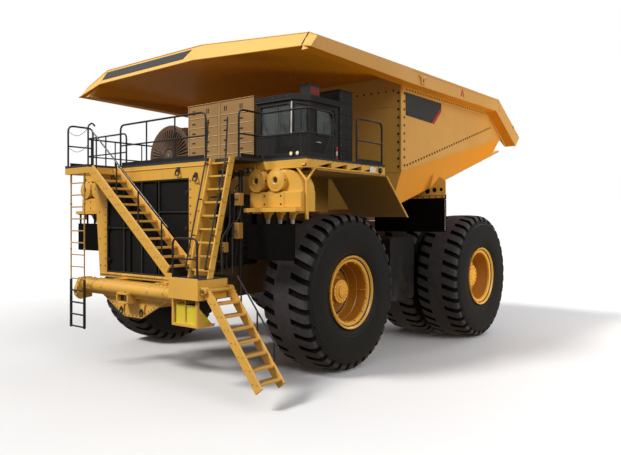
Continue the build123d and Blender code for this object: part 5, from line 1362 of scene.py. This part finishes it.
def makeInterior():
    # Operator's seat with bolsters, console, screens and the steering wheel
    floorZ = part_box("cab_interior")[0].z
    seat = Vector((stationSet["seatX"], frontAxle.y - stationSet["seatBack"], floorZ))
    desk = Vector((cabX0 + 0.15, cabFrontY, floorZ))
    bm = bmesh.new()
    # Cushion, back and head rest
    for corner, opposite, edge in (((-0.26, -0.265, 0.38), (0.26, 0.2, 0.52), 0.05),
                                   ((-0.24, 0.165, 0.5), (0.24, 0.285, 1.1), 0.05),
                                   ((-0.13, 0.18, 0.93), (0.13, 0.275, 1.12), 0.04)):
        addBox(bm, seat + Vector(corner), seat + Vector(opposite), edge)
    for side in (-1, 1):
        arm = seat + Vector((side * 0.235, 0, 0))
        addBox(bm, arm + Vector((-0.035, -0.2, 0.6)), arm + Vector((0.022, 0.14, 0.66)), 0.02, 1)
    addCone(bm, seat + Vector((0, 0, 0.001)), seat + Vector((0, 0, 0.38)), 0.15, 0.12, 20, 0.01, 1)
    section = ((0.12, 0), (0.33, 0), (0.33, 0.43), (0.26, 0.495), (0.12, 0.495))
    addPlate(bm, [desk + Vector((0, y, z)) for y, z in section], (0.85, 0, 0), 0.02, 1)
    for x in (2.95, 3.5):
        screen = Vector((x, desk.y, floorZ))
        addBox(bm, screen + Vector((-0.09, 0.275, 0.36)), screen + Vector((0.09, 0.33, 0.47)), 0.008, 2)
    # Steering wheel: a ring spun flat at the origin, then tipped onto its column
    hub = Vector((seat.x, desk.y + 0.5, floorZ + 0.622))
    tilt = Matrix.Translation(hub) @ Matrix.Rotation(math.radians(stationSet["wheelTilt"]), 4, "X")
    turned = Matrix.Translation((stationSet["wheelRadius"], 0, 0)) @ Matrix.Rotation(math.radians(90), 4, "X")
    ring = bmesh.ops.create_circle(bm, cap_ends=False, segments=12, radius=stationSet["wheelRim"],
                                   matrix=turned)["verts"]
    bmesh.ops.spin(bm, geom=ring + edgesOf(ring), cent=(0, 0, 0), axis=(0, 0, 1), angle=2 * math.pi,
                   steps=32, use_merge=True)
    rim = [v for v in bm.verts if v.co.length < 0.3]
    paintFaces(facesOf(rim), 1)
    bmesh.ops.transform(bm, matrix=tilt, verts=rim)
    for angle in map(math.radians, (90, 210, 330)):
        spoke = tilt.to_quaternion() @ Vector((math.cos(angle), math.sin(angle), 0))
        addCone(bm, hub, hub + spoke * 0.19, 0.014, 0.011, 8, 0, 1)
    addTube(bm, [Vector((seat.x, desk.y + 0.335, floorZ + 0.46)), hub], 0.028, 0.02, 12, 1)
    finishPiece(bm, "operatorStation", "chassis", [seatFabric, blackPaint, signDark],
                ("cab_interior",))


def makeDisplay():
    # Payload board: a black hood with three plain numerals, made of seven bars each, on its outer face
    low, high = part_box("display_board")
    bm = bmesh.new()
    addBox(bm, (low.x, low.y + 0.015, low.z), (high.x, high.y, high.z), 0.02)
    bars = ((0, 1, 1), (-1, 0.5, 0), (1, 0.5, 0), (0, 0, 1), (-1, -0.5, 0), (1, -0.5, 0), (0, -1, 1))
    for place in (-0.115, 0.0, 0.115):
        for across, up, flat in bars:
            y, z = (low.y + high.y) / 2 + place + across * 0.032, (low.z + high.z) / 2 + up * 0.085
            wide, tall = (0.024, 0.006) if flat else (0.006, 0.036)
            addBox(bm, (high.x - 0.008, y - wide, z - tall), (high.x + 0.003, y + wide, z + tall), 0.002, 1)
    addBox(bm, (low.x - 0.012, low.y + 0.002, high.z - 0.02), (high.x + 0.012, high.y + 0.01, high.z), 0.004)
    finishPiece(bm, "payloadBoard", "chassis", [signDark, displayRed], ("display_board",))


makeCabTrim()
makeCabLamps()
makeDoorTrim()
makeCabinetTrim()
makeInterior()
makeDisplay()
print("stage: cab trimmed")


# Control cabinets: columns of drawers with latches, slots and vents
drawerSet = {
    "rows": (0.05, 0.135, 0.145, 0.155, 0.15, 0.155, 0.21),    # shares of the height, from the foot up
    "columns": ((-0.5, 0.74), (0.77, 2.05)),
    "slots": (0.16, 0.62), "vents": 14, "ventPitch": 0.075,
}


def makeDrawers():
    bm = bmesh.new()
    low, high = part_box("control_cabinets")
    total = sum(drawerSet["rows"])
    for x0, x1 in drawerSet["columns"]:
        z = low.z
        for row, share in enumerate(drawerSet["rows"]):
            tall = (high.z - low.z) * share / total
            if row:
                addBox(bm, (x0 + 0.035, low.y - 0.016, z + 0.012),
                       (x1 - 0.035, low.y + 0.004, z + tall - 0.012), 0.006)
                # Pale strip along each drawer's lower edge: a painted highlight
                addBox(bm, (x0 + 0.035, low.y - 0.022, z + 0.002), (x1 - 0.035, low.y, z + 0.018), 0.002, 2)
                addBox(bm, (x0 + 0.03, low.y - 0.01, z - 0.012), (x1 - 0.03, low.y, z + 0.002), 0.0, 1)
                middle = z + tall / 2
                wide, deep = (0.014, 0.065) if row == len(drawerSet["rows"]) - 1 else (0.03, 0.02)
                for part in drawerSet["slots"]:
                    for dx in (0.0, 0.07):
                        x = x0 + (x1 - x0) * part + dx
                        addBox(bm, (x - wide, low.y - 0.026, middle - deep),
                               (x + wide, low.y - 0.012, middle + deep), 0.003, 1)
            z += tall
        # Pale strips down the sides of each column: a painted highlight
        for x in (x0 - 0.004, x1 - 0.018):
            addBox(bm, (x, low.y - 0.022, low.z + 0.02), (x + 0.022, low.y, high.z), 0.003, 2)
    # Lids, back vents and side panels
    for x0, x1 in drawerSet["columns"]:
        addBox(bm, (x0 - 0.015, low.y - 0.03, high.z - 0.002), (x1 + 0.012, high.y + 0.02, high.z + 0.03),
               0.008)
        for number in range(drawerSet["vents"]):
            vent = high.z - 0.35 - number * drawerSet["ventPitch"]
            addBox(bm, (x0 + 0.12, high.y - 0.004, vent), (x1 - 0.12, high.y + 0.018, vent + 0.035), 0.006, 0)
    for x, out in ((drawerSet["columns"][0][0], -1), (drawerSet["columns"][-1][1], 1)):
        for row in range(3):
            z = low.z + 0.1 + row * 0.55
            addBox(bm, (x, low.y + 0.08, z), (x + out * 0.012, high.y - 0.08, z + 0.48), 0.005)
    finishPiece(bm, "cabinetDrawers", "chassis", [cabinetTanAndShade, signDark, cabinetEdgeHighlight])


drumSet = {"slats": 44, "slatFrom": 0.24, "slatTo": 0.8, "band": 0.908, "bandSteps": 40, "hub": 0.22}


def makeDrumTrim():
    # Retarder grid drum: rolled rims, radial slats, hub, bands and feet
    low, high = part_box("retarder_drum")
    centreX, centreZ = (low.x + high.x) / 2, high.z - 0.9
    lowestZ = deckZ + 0.04
    bm = bmesh.new()
    for y, out in ((low.y, -1), (high.y, 1)):
        middle = Vector((centreX, y, centreZ))
        for spoke in spokesAboutY(drumSet["slats"]):
            reach = drumSet["slatTo"]
            if centreZ + spoke.z * reach < lowestZ:
                # Slats that point down stop at the deck
                reach = (lowestZ - centreZ) / spoke.z
                if reach < 0.3:
                    continue
            across = Vector((spoke.z, 0, -spoke.x)) * 0.012
            start, end = middle + spoke * drumSet["slatFrom"], middle + spoke * reach
            addPlate(bm, [start - across, end - across, end + across * 1.5, start + across],
                     (0, out * 0.035, 0), 0.003)
        for near, far, radius, farRadius, sides, edge, slot in ((0, 0.06, drumSet["hub"], 0.2, 32, 0.01, 0),
                                                                (0.05, 0.075, 0.09, 0.08, 24, 0.006, 1)):
            addCone(bm, (centreX, y + out * near, centreZ), (centreX, y + out * far, centreZ), radius,
                    farRadius,
                    sides, edge, slot)
    half = math.acos((deckZ + 0.02 - centreZ) / 0.905)      # where a band meets the deck
    angles = [half * (2 * number / drumSet["bandSteps"] - 1) for number in range(drumSet["bandSteps"] + 1)]
    for y in (low.y + 0.03, (low.y + high.y) / 2, high.y - 0.03):
        addTube(bm,
                [(centreX + drumSet["band"] * math.sin(angle), y, centreZ + drumSet["band"] * math.cos(angle))
                     for angle in angles], 0.028, 0.0, 8, 0)
    for x in (centreX - 0.72, centreX + 0.72):
        for y in (low.y + 0.2, high.y - 0.2):
            addBox(bm, (x - 0.1, y - 0.07, deckZ), (x + 0.1, y + 0.07, deckZ + 0.1), 0.012)
            addBolt(bm, (x, y, deckZ + 0.1), (0, 0, 1), 0.018, 0.018, 1)
    finishPiece(bm, "drumGrid", "chassis", [drumBrown, boltSteel])


makeDrawers()
makeDrumTrim()
print("stage: cabinets and drum trimmed")


# Air cleaners: covers with rolled rims and a dark inlet, clamps, box bolts, shelf ribs, dust valves
cleanerSet = {
    "offsets": (0.25, 0.86), "height": 4.78, "clips": 6, "bands": (0.1, 0.3), "ribs": 9, "ribPitch": 0.175,
    "valves": (0.4, 0.78, 1.16),
    # cover: distance ahead, radius
    "cover": ((0.0, 0.262), (0.018, 0.268), (0.034, 0.262), (0.04, 0.235), (0.036, 0.215), (0.046, 0.19),
              (0.052, 0.12), (0.06, 0.095), (0.052, 0.075), (0.02, 0.066), (0.016, 0.003), (0.0, 0.003)),
}


def makeCleanerTrim(name, lowX):
    front = frontAxle.y - 2.45
    ahead = Vector((0, -1, 0))
    bm = bmesh.new()
    for offset in cleanerSet["offsets"]:
        centre = Vector((lowX + offset, front - 0.02, cleanerSet["height"]))
        verts = [bm.verts.new(centre + Vector((0, -out, radius))) for out, radius in cleanerSet["cover"]]
        edges = [bm.edges.new((p, q)) for p, q in zip(verts, verts[1:])]
        bmesh.ops.spin(bm, geom=verts + edges, cent=centre, axis=(0, 1, 0), angle=2 * math.pi, steps=48,
                       use_merge=True)
        addCone(bm, centre + ahead * 0.004, centre + ahead * 0.024, 0.064, 0.064, 24, 0, 1)
        for spoke in spokesAboutY(cleanerSet["clips"], 0.5):
            spot = centre + spoke * 0.268
            addBox(bm, spot - Vector((0.014, 0.03, 0.014)), spot + Vector((0.014, 0.02, 0.014)), 0.004, 2)
        for back in cleanerSet["bands"]:
            addCone(bm, centre - ahead * back, centre - ahead * (back + 0.03), 0.266, 0.266, 48, 0.003)
    # Box covers with bolts
    for x0, x1 in ((0.01, 1.08), (1.1, 1.59)):
        addBox(bm, (lowX + x0, front - 0.014, 4.15), (lowX + x1, front + 0.002, 4.5), 0.006)
    for x in (0.48, 0.99):
        for z in (4.23, 4.42):
            addBolt(bm, (lowX + x, front - 0.014, z), (0, -1, 0), 0.018, 0.014, 1)
    # Shelf: lipped edge, ribs below
    addBox(bm, (lowX - 0.005, front - 0.222, 4.045), (lowX + 1.605, front - 0.205, 4.14), 0.005)
    for number in range(cleanerSet["ribs"]):
        x = lowX + 0.1 + number * cleanerSet["ribPitch"]
        addBox(bm, (x - 0.008, front - 0.2, 4.02), (x + 0.008, front + 0.35, 4.062), 0.003)
    # Dust valves: ribbed cups with pale rubber tips
    y = front + 0.2
    for offset in cleanerSet["valves"]:
        x = lowX + offset
        addCone(bm, (x, y, 4.06), (x, y, 4.00), 0.142, 0.136, 28, 0.006)
        addCone(bm, (x, y, 3.885), (x, y, 3.775), 0.048, 0.04, 20, 0.006, 3)
        addCone(bm, (x, y, 3.785), (x, y, 3.765), 0.028, 0.012, 12, 0, 1)
    finishPiece(bm, f"cleanerTrim_{name}", "chassis", [bodyYellow, signDark, boltSteel, paleStrip])


makeCleanerTrim("left", 2.83)
makeCleanerTrim("right", -4.42)
print("stage: air cleaners trimmed")


# Deck edge: pale panels, round caps, arch edge bars and gussets
deckSet = {"edgeBolts": 16, "bracketX": (3.25, 3.75, 4.25, -3.25, -3.75, -4.25)}


def makeDeckTrim():
    bm = bmesh.new()
    for side in (-1, 1):
        x = side * deckHigh.x
        addBox(bm, (x, -2.62, 5.075), (x + side * 0.012, -2.36, 5.215), 0.004, 1)
        addCone(bm, (x - side * 0.01, -2.14, 5.145), (x + side * 0.045, -2.14, 5.145), 0.075, 0.068, 28,
                0.008, 2)
        addCone(bm, (x + side * 0.04, -2.14, 5.145), (x + side * 0.052, -2.14, 5.145), 0.035, 0.03, 20,
                0.004, 3)
        # Edge bar down the sloping rear of the arch
        slope = [(-1.86, 5.02), (-1.8, 5.02), (-0.705, 3.94), (-0.775, 3.94)]
        addPlate(bm, [(x - side * 0.008, y, z) for y, z in slope], (side * 0.034, 0, 0), 0.005)
        addTube(bm, [(x - side * 0.03, -4.95, 5.035), (x - side * 0.03, -1.9, 5.035)], 0.012, 0.01, 8)
        rowOfBolts(bm, (x, -4.95, 5.225), (x, -2.0, 5.225), (side, 0, 0), deckSet["edgeBolts"], 0.01, 0.008,
                   3)
    # Brackets under the deck's front edge
    for x in deckSet["bracketX"]:
        addPlate(bm, [(x - 0.006, -5.135, 5.06), (x - 0.006, -4.95, 5.06), (x - 0.006, -5.135, 4.98)],
                 (0.012, 0, 0), 0.0)
    finishPiece(bm, "deckEdgeTrim", "chassis", [bodyYellow, paleStrip, blackPaint, boltSteel])


makeDeckTrim()
print("stage: deck edge trimmed")


# Dump body: bolt lines, lap seams, blank plates, lifting brackets, reflectors
bodySet = {
    "sideX": 4.3, "railX": 4.655, "studRadius": 0.027, "lowRow": 36, "topRow": 34, "postRow": 10,
    "plate": ((-0.5, 7.46), (1.64, 7.44), (1.64, 7.2), (1.18, 6.76), (-0.48, 6.82)),
    "plateCorner": ((1.635, 7.3), (1.64, 7.2), (1.18, 6.76), (1.02, 6.765), (1.5, 7.2)),
    "plateBolts": ((-0.44, 7.4), (0.6, 7.39), (1.58, 7.38), (-0.42, 6.88), (0.4, 6.85), (1.0, 6.83)),
    "seams": (((5.22, 8.02), (5.3, 7.62)), ((6.42, 7.02), (6.98, 7.02))),
}


def lowEdge(y):
    # Height of the side wall's lower edge
    return 5.227 + (6.8 - 5.227) * (y + 0.67) / 6.87


def makeBodyTrim(name, side):
    bm = bmesh.new()
    x = side * bodySet["sideX"]
    facing = (side, 0, 0)
    size, posts = bodySet["studRadius"], bodySet["postRow"]
    rowOfBolts(bm, (x, -0.56, 5.4), (x, -0.56, 7.42), facing, posts, size, 0.016, 1)
    rowOfBolts(bm, (x, -0.45, 7.545), (x, 4.95, 7.545), facing, bodySet["topRow"], size * 1.1, 0.018, 1)
    rowOfBolts(bm, (x, -0.4, 5.42), (x, 5.3, 7.1), facing, bodySet["lowRow"], size, 0.016, 1)
    rowOfBolts(bm, (side * 4.21, -0.73, 5.36), (side * 4.21, -0.73, 7.42), (0, -1, 0), posts, size, 0.016, 1)
    # Rolled corner bead, lap strips along the rail and above the fold
    addTube(bm, [(side * 4.296, -0.726, 5.24), (side * 4.296, -0.726, 7.6)], 0.03, 0.0, 14)
    addBox(bm, (x, -0.66, 7.48), (x + side * 0.012, 4.99, 7.6), 0.004, 4)
    strip = ((-0.66, 0.06), (6.1, 0.06), (6.1, 0.005), (-0.66, 0.005))
    addPlate(bm, [(x, y, lowEdge(y) + dz) for y, dz in strip], (side * 0.01, 0, 0), 0.003)
    # Stiffening returns behind the rear edge of the wall
    addPlate(bm, [(x, 5.02, 7.6), (x, 5.1, 7.6), (x, 6.66, 6.62), (x, 6.6, 6.56)], (side * 0.03, 0, 0), 0.005)
    # Bare black plate with a red corner, bolted on near the front
    for key, out, thick, edge, slot in (("plate", 0.002, 0.012, 0.004, 2),
                                        ("plateCorner", 0.013, 0.006, 0.002, 3)):
        outline = [(x + side * out, y, z) for y, z in bodySet[key]]
        addPlate(bm, outline, (side * thick, 0, 0), edge, slot)
    for y, z in bodySet["plateBolts"]:
        addBolt(bm, (x + side * 0.014, y, z), facing, 0.012, 0.009, 1)
    # Top rail: cap strip, lifting bracket, chevron reflector, tail eye and seams
    railX = side * bodySet["railX"]
    lift = side * (0.036 if side > 0 else 0.009)      # how far the bracket stands off the rail
    addPlate(bm, [(railX, y, z) for y, z in ((-0.6, 8.035), (5.2, 8.035), (5.2, 7.985), (-0.6, 7.985))],
             (side * 0.009, 0, 0), 0.004)
    addBox(bm, (railX, -0.38, 7.865), (railX + lift, 0.06, 7.915), 0.004)
    addBox(bm, (railX, -0.27, 7.68), (railX + lift, -0.05, 7.87), 0.004)
    addBox(bm, (railX + lift * 0.8, -0.19, 7.73), (railX + lift * 1.1, -0.13, 7.84), 0.001, 2)
    for lean in (-1, 1):
        stroke = ((0, 7.93), (0.03, 7.93), (0.12, 7.72), (0.06, 7.72))
        addPlate(bm, [(railX, 2.38 + lean * dy, z) for dy, z in stroke], (side * 0.008, 0, 0), 0.0, 3)
    addCone(bm, (railX - side * 0.02, 6.52, 7.22), (railX + side * 0.007, 6.52, 7.22), 0.075, 0.072, 24,
            0.003)
    addCone(bm, (railX, 6.52, 7.22), (railX + side * 0.009, 6.52, 7.22), 0.04, 0.04, 20, 0, 2)
    for start, end in bodySet["seams"]:
        near, far = Vector((railX, *start)), Vector((railX, *end))
        way = (far - near).normalized() * 0.012
        flip = Vector((0, -way.z, way.y))
        addPlate(bm, [near - flip, far - flip, far + flip, near + flip], (side * 0.006, 0, 0), 0.0)
    finishPiece(bm, f"bodyTrim_{name}", "bed", [bedYellow, castDark, signDark, signRed, bodyYellow])


flapSet = {
    "clampBolts": 12, "dots": 18, "dotPitch": 0.055, "dotX": 4.445,
    # across, height, radius
    "plugs": ((3.86, 4.76, 0.086), (4.1, 4.79, 0.076), (4.33, 4.8, 0.056)),
}


def makeFlapTrim(name, side):
    # Clamp bar and pale dotted edge strip on the rear mud flap
    bm = bmesh.new()
    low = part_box("rear_mud_flaps")[0]
    flapY = low.y
    xs = sorted((side * 1.95, side * 4.44))
    addBox(bm, (xs[0], flapY - 0.03, 4.54), (xs[1], flapY + 0.002, 4.61), 0.006)
    rowOfBolts(bm, (xs[0] + 0.08, flapY - 0.03, 4.575), (xs[1] - 0.08, flapY - 0.03, 4.575), (0, -1, 0),
               flapSet["clampBolts"], 0.018, 0.014, 1)
    dotX = side * flapSet["dotX"]
    for number in range(flapSet["dots"]):
        z = low.z + 0.04 + number * flapSet["dotPitch"]
        addBox(bm, (dotX - 0.018, flapY - 0.01, z), (dotX + 0.018, flapY + 0.001, z + 0.027), 0.003, 2)
    # Rubber plugs in the carrier's holes
    for x, z, reach in flapSet["plugs"]:
        addCone(bm, (side * x, flapY - 0.018, z), (side * x, flapY - 0.004, z), reach, reach, 24, 0.0, 3)
    finishPiece(bm, f"rearFlapTrim_{name}", "bed", [bedYellow, castDark, paleStrip, flapRubber])


bolsterSet = {"count": 9, "pitch": 0.78, "slope": 0.291, "spans": ((-3.6, -1.3), (1.3, 3.6), (-0.68, 0.68))}


def makeUnderBed():
    # Cross bolsters below the floor, left out where the hoist pins sit
    bm = bmesh.new()
    for number in range(bolsterSet["count"]):
        y = -0.1 + number * bolsterSet["pitch"]
        z = 4.18 + bolsterSet["slope"] * (y + 0.73)
        if 1.4 < y < 2.6:
            continue
        for x0, x1 in bolsterSet["spans"]:
            addBox(bm, (x0, y - 0.07, z - 0.16), (x1, y + 0.07, z + 0.02), 0.02)
    finishPiece(bm, "bodyBolsters", "bed", [bedYellow, castDark])


headSet = {"bolts": 34, "seams": (-2.6, -0.9, 0.9, 2.6)}


def makeHeadTrim():
    bm = bmesh.new()
    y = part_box("bed_headboard")[0].y
    rowOfBolts(bm, (-4.05, y, 7.5), (4.05, y, 7.5), (0, -1, 0), headSet["bolts"], 0.022, 0.016, 1)
    addBox(bm, (-4.24, y - 0.008, 7.044), (4.24, y + 0.004, 7.056), 0.0)
    for x in headSet["seams"]:
        addBox(bm, (x - 0.006, y - 0.008, 4.25), (x + 0.006, y + 0.004, 7.6), 0.0)
    # Lower fold strip
    addBox(bm, (-4.24, y - 0.01, 5.2), (4.24, y + 0.004, 5.29), 0.004)
    finishPiece(bm, "headboardTrim", "bed", [bedYellow, castDark])


beadSet = {
    "points": 25,
    "canopy": ([((-4.2, y), (4.0, y)) for y in (-3.9, -2.9, -1.9)] +
               [((x, -4.55), (x, -0.9)) for x in (-2.4, 0.5, 2.6)], 0.01),
    "floor": ([((x, 0.1), (x, 6.7)) for x in (-2.7, -0.9, 0.9, 2.7)] +
              [((-3.6, y), (3.6, y)) for y in (1.6, 3.3, 5.0)], 0.012),
}


def layBeads(name, node, ways, size):
    # Weld beads that lie on a plate's upper face, found by dropping each point onto it
    source = bmesh.new()
    source.from_mesh(frame["nodes"][node].data)
    source.transform(frame["nodes"][node].matrix_world)
    plate = BVHTree.FromBMesh(source)
    source.free()
    bm = bmesh.new()
    for start, end in ways:
        laid = []
        for number in range(beadSet["points"]):
            share = number / (beadSet["points"] - 1)
            above = Vector((start[0] + (end[0] - start[0]) * share,
                            start[1] + (end[1] - start[1]) * share, 12))
            spot = plate.ray_cast(above, Vector((0, 0, -1)))[0]
            if spot:
                laid.append(spot)
        if len(laid) > 1:
            addTube(bm, laid, size, 0.0, 6)
    finishPiece(bm, name, "bed", [bedYellow])


for name in ("canopy", "floor"):
    layBeads(f"{name}Beads", f"bed_{name}", *beadSet[name])
print("stage: weld beads laid")


# Canopy: the folds of its fascia, as across, (y, z) of the upper edge, (y, z) of the lower edge
canopyStations = ((-4.655, (-4.934, 8.03), (-5.206, 7.71)), (-3.87, (-4.69, 8.555), (-4.99, 8.05)),
                  (0.5, (-4.69, 8.585), (-4.99, 8.1)), (4.22, (-4.69, 8.23), (-4.99, 7.84)),
                  (4.655, (-4.934, 8.03), (-5.206, 7.71)))


def fasciaPoint(x, share):
    # A point on the fascia's face: share 0 at its lower edge, 1 at its upper
    for (nearX, nearTop, nearLow), (farX, farTop, farLow) in zip(canopyStations, canopyStations[1:]):
        if nearX <= x <= farX:
            along = (x - nearX) / (farX - nearX)
            top = Vector(nearTop).lerp(Vector(farTop), along)
            low = Vector(nearLow).lerp(Vector(farLow), along)
            return Vector((x, *low.lerp(top, share)))


canopySet = {
    "band": ((-3.84, 0.28), (-0.03, 0.28), (0.17, 0.8), (-3.8, 0.8)),        # across, share of the height
    "lips": ((0.02, 0.02), (0.955, 0.018)),                                    # share of the height, radius
    "weldLines": ((4.2, 0.017, 1), (-3.87, 0.016, 0)),                         # across, radius, finish
    "studRows": 9, "studPitch": 0.42, "studColumns": 30,
}


def makeCanopyTrim():
    bm = bmesh.new()
    ahead = Vector((0, -0.86, 0.51)).normalized()
    # Bare black band on the right half of the fascia
    corners = [fasciaPoint(x, share) for x, share in canopySet["band"]]
    addPlate(bm, [c + ahead * 0.001 for c in corners], ahead * 0.01, 0.003, 1)
    # Lips along both edges, following the folds
    for share, size in canopySet["lips"]:
        addTube(bm, [fasciaPoint(station[0], share) for station in canopyStations], size, 0.0, 10)
    # Weld lines at the folds, dark on the cab's side
    for x, size, slot in canopySet["weldLines"]:
        addTube(bm, [fasciaPoint(x, 0.03), fasciaPoint(x, 0.97)], size, 0.0, 8, slot)
    # Studs in rows under the roof
    for row in range(canopySet["studRows"]):
        y = -4.3 + row * canopySet["studPitch"]
        share = (y + 4.83) / (-0.73 + 4.83)
        for column in range(canopySet["studColumns"]):
            x = -3.95 + column * 7.9 / (canopySet["studColumns"] - 1)
            if x < 0.5:
                frontZ = 8.06 + 0.055 * (x + 3.87) / 4.37 if x > -3.87 else 8.0
            else:
                frontZ = 8.115 - 0.275 * (x - 0.5) / 3.8
            z = frontZ + (7.9 - frontZ) * share
            addCone(bm, (x, y, z + 0.01), (x, y, z - 0.01), 0.018, 0.014, 6)
    # Ribs under the roof beside the rails
    for side in (-1, 1):
        addTube(bm, [(side * 4.27, -4.6, 7.9), (side * 4.27, -0.75, 7.87)], 0.035, 0.0, 10)
    finishPiece(bm, "canopyTrim", "bed", [bedYellow, signDark, castDark])


for name, side in sides:
    makeBodyTrim(name, side)
    makeFlapTrim(name, side)
makeUnderBed()
makeHeadTrim()
makeCanopyTrim()
print("stage: dump body trimmed")
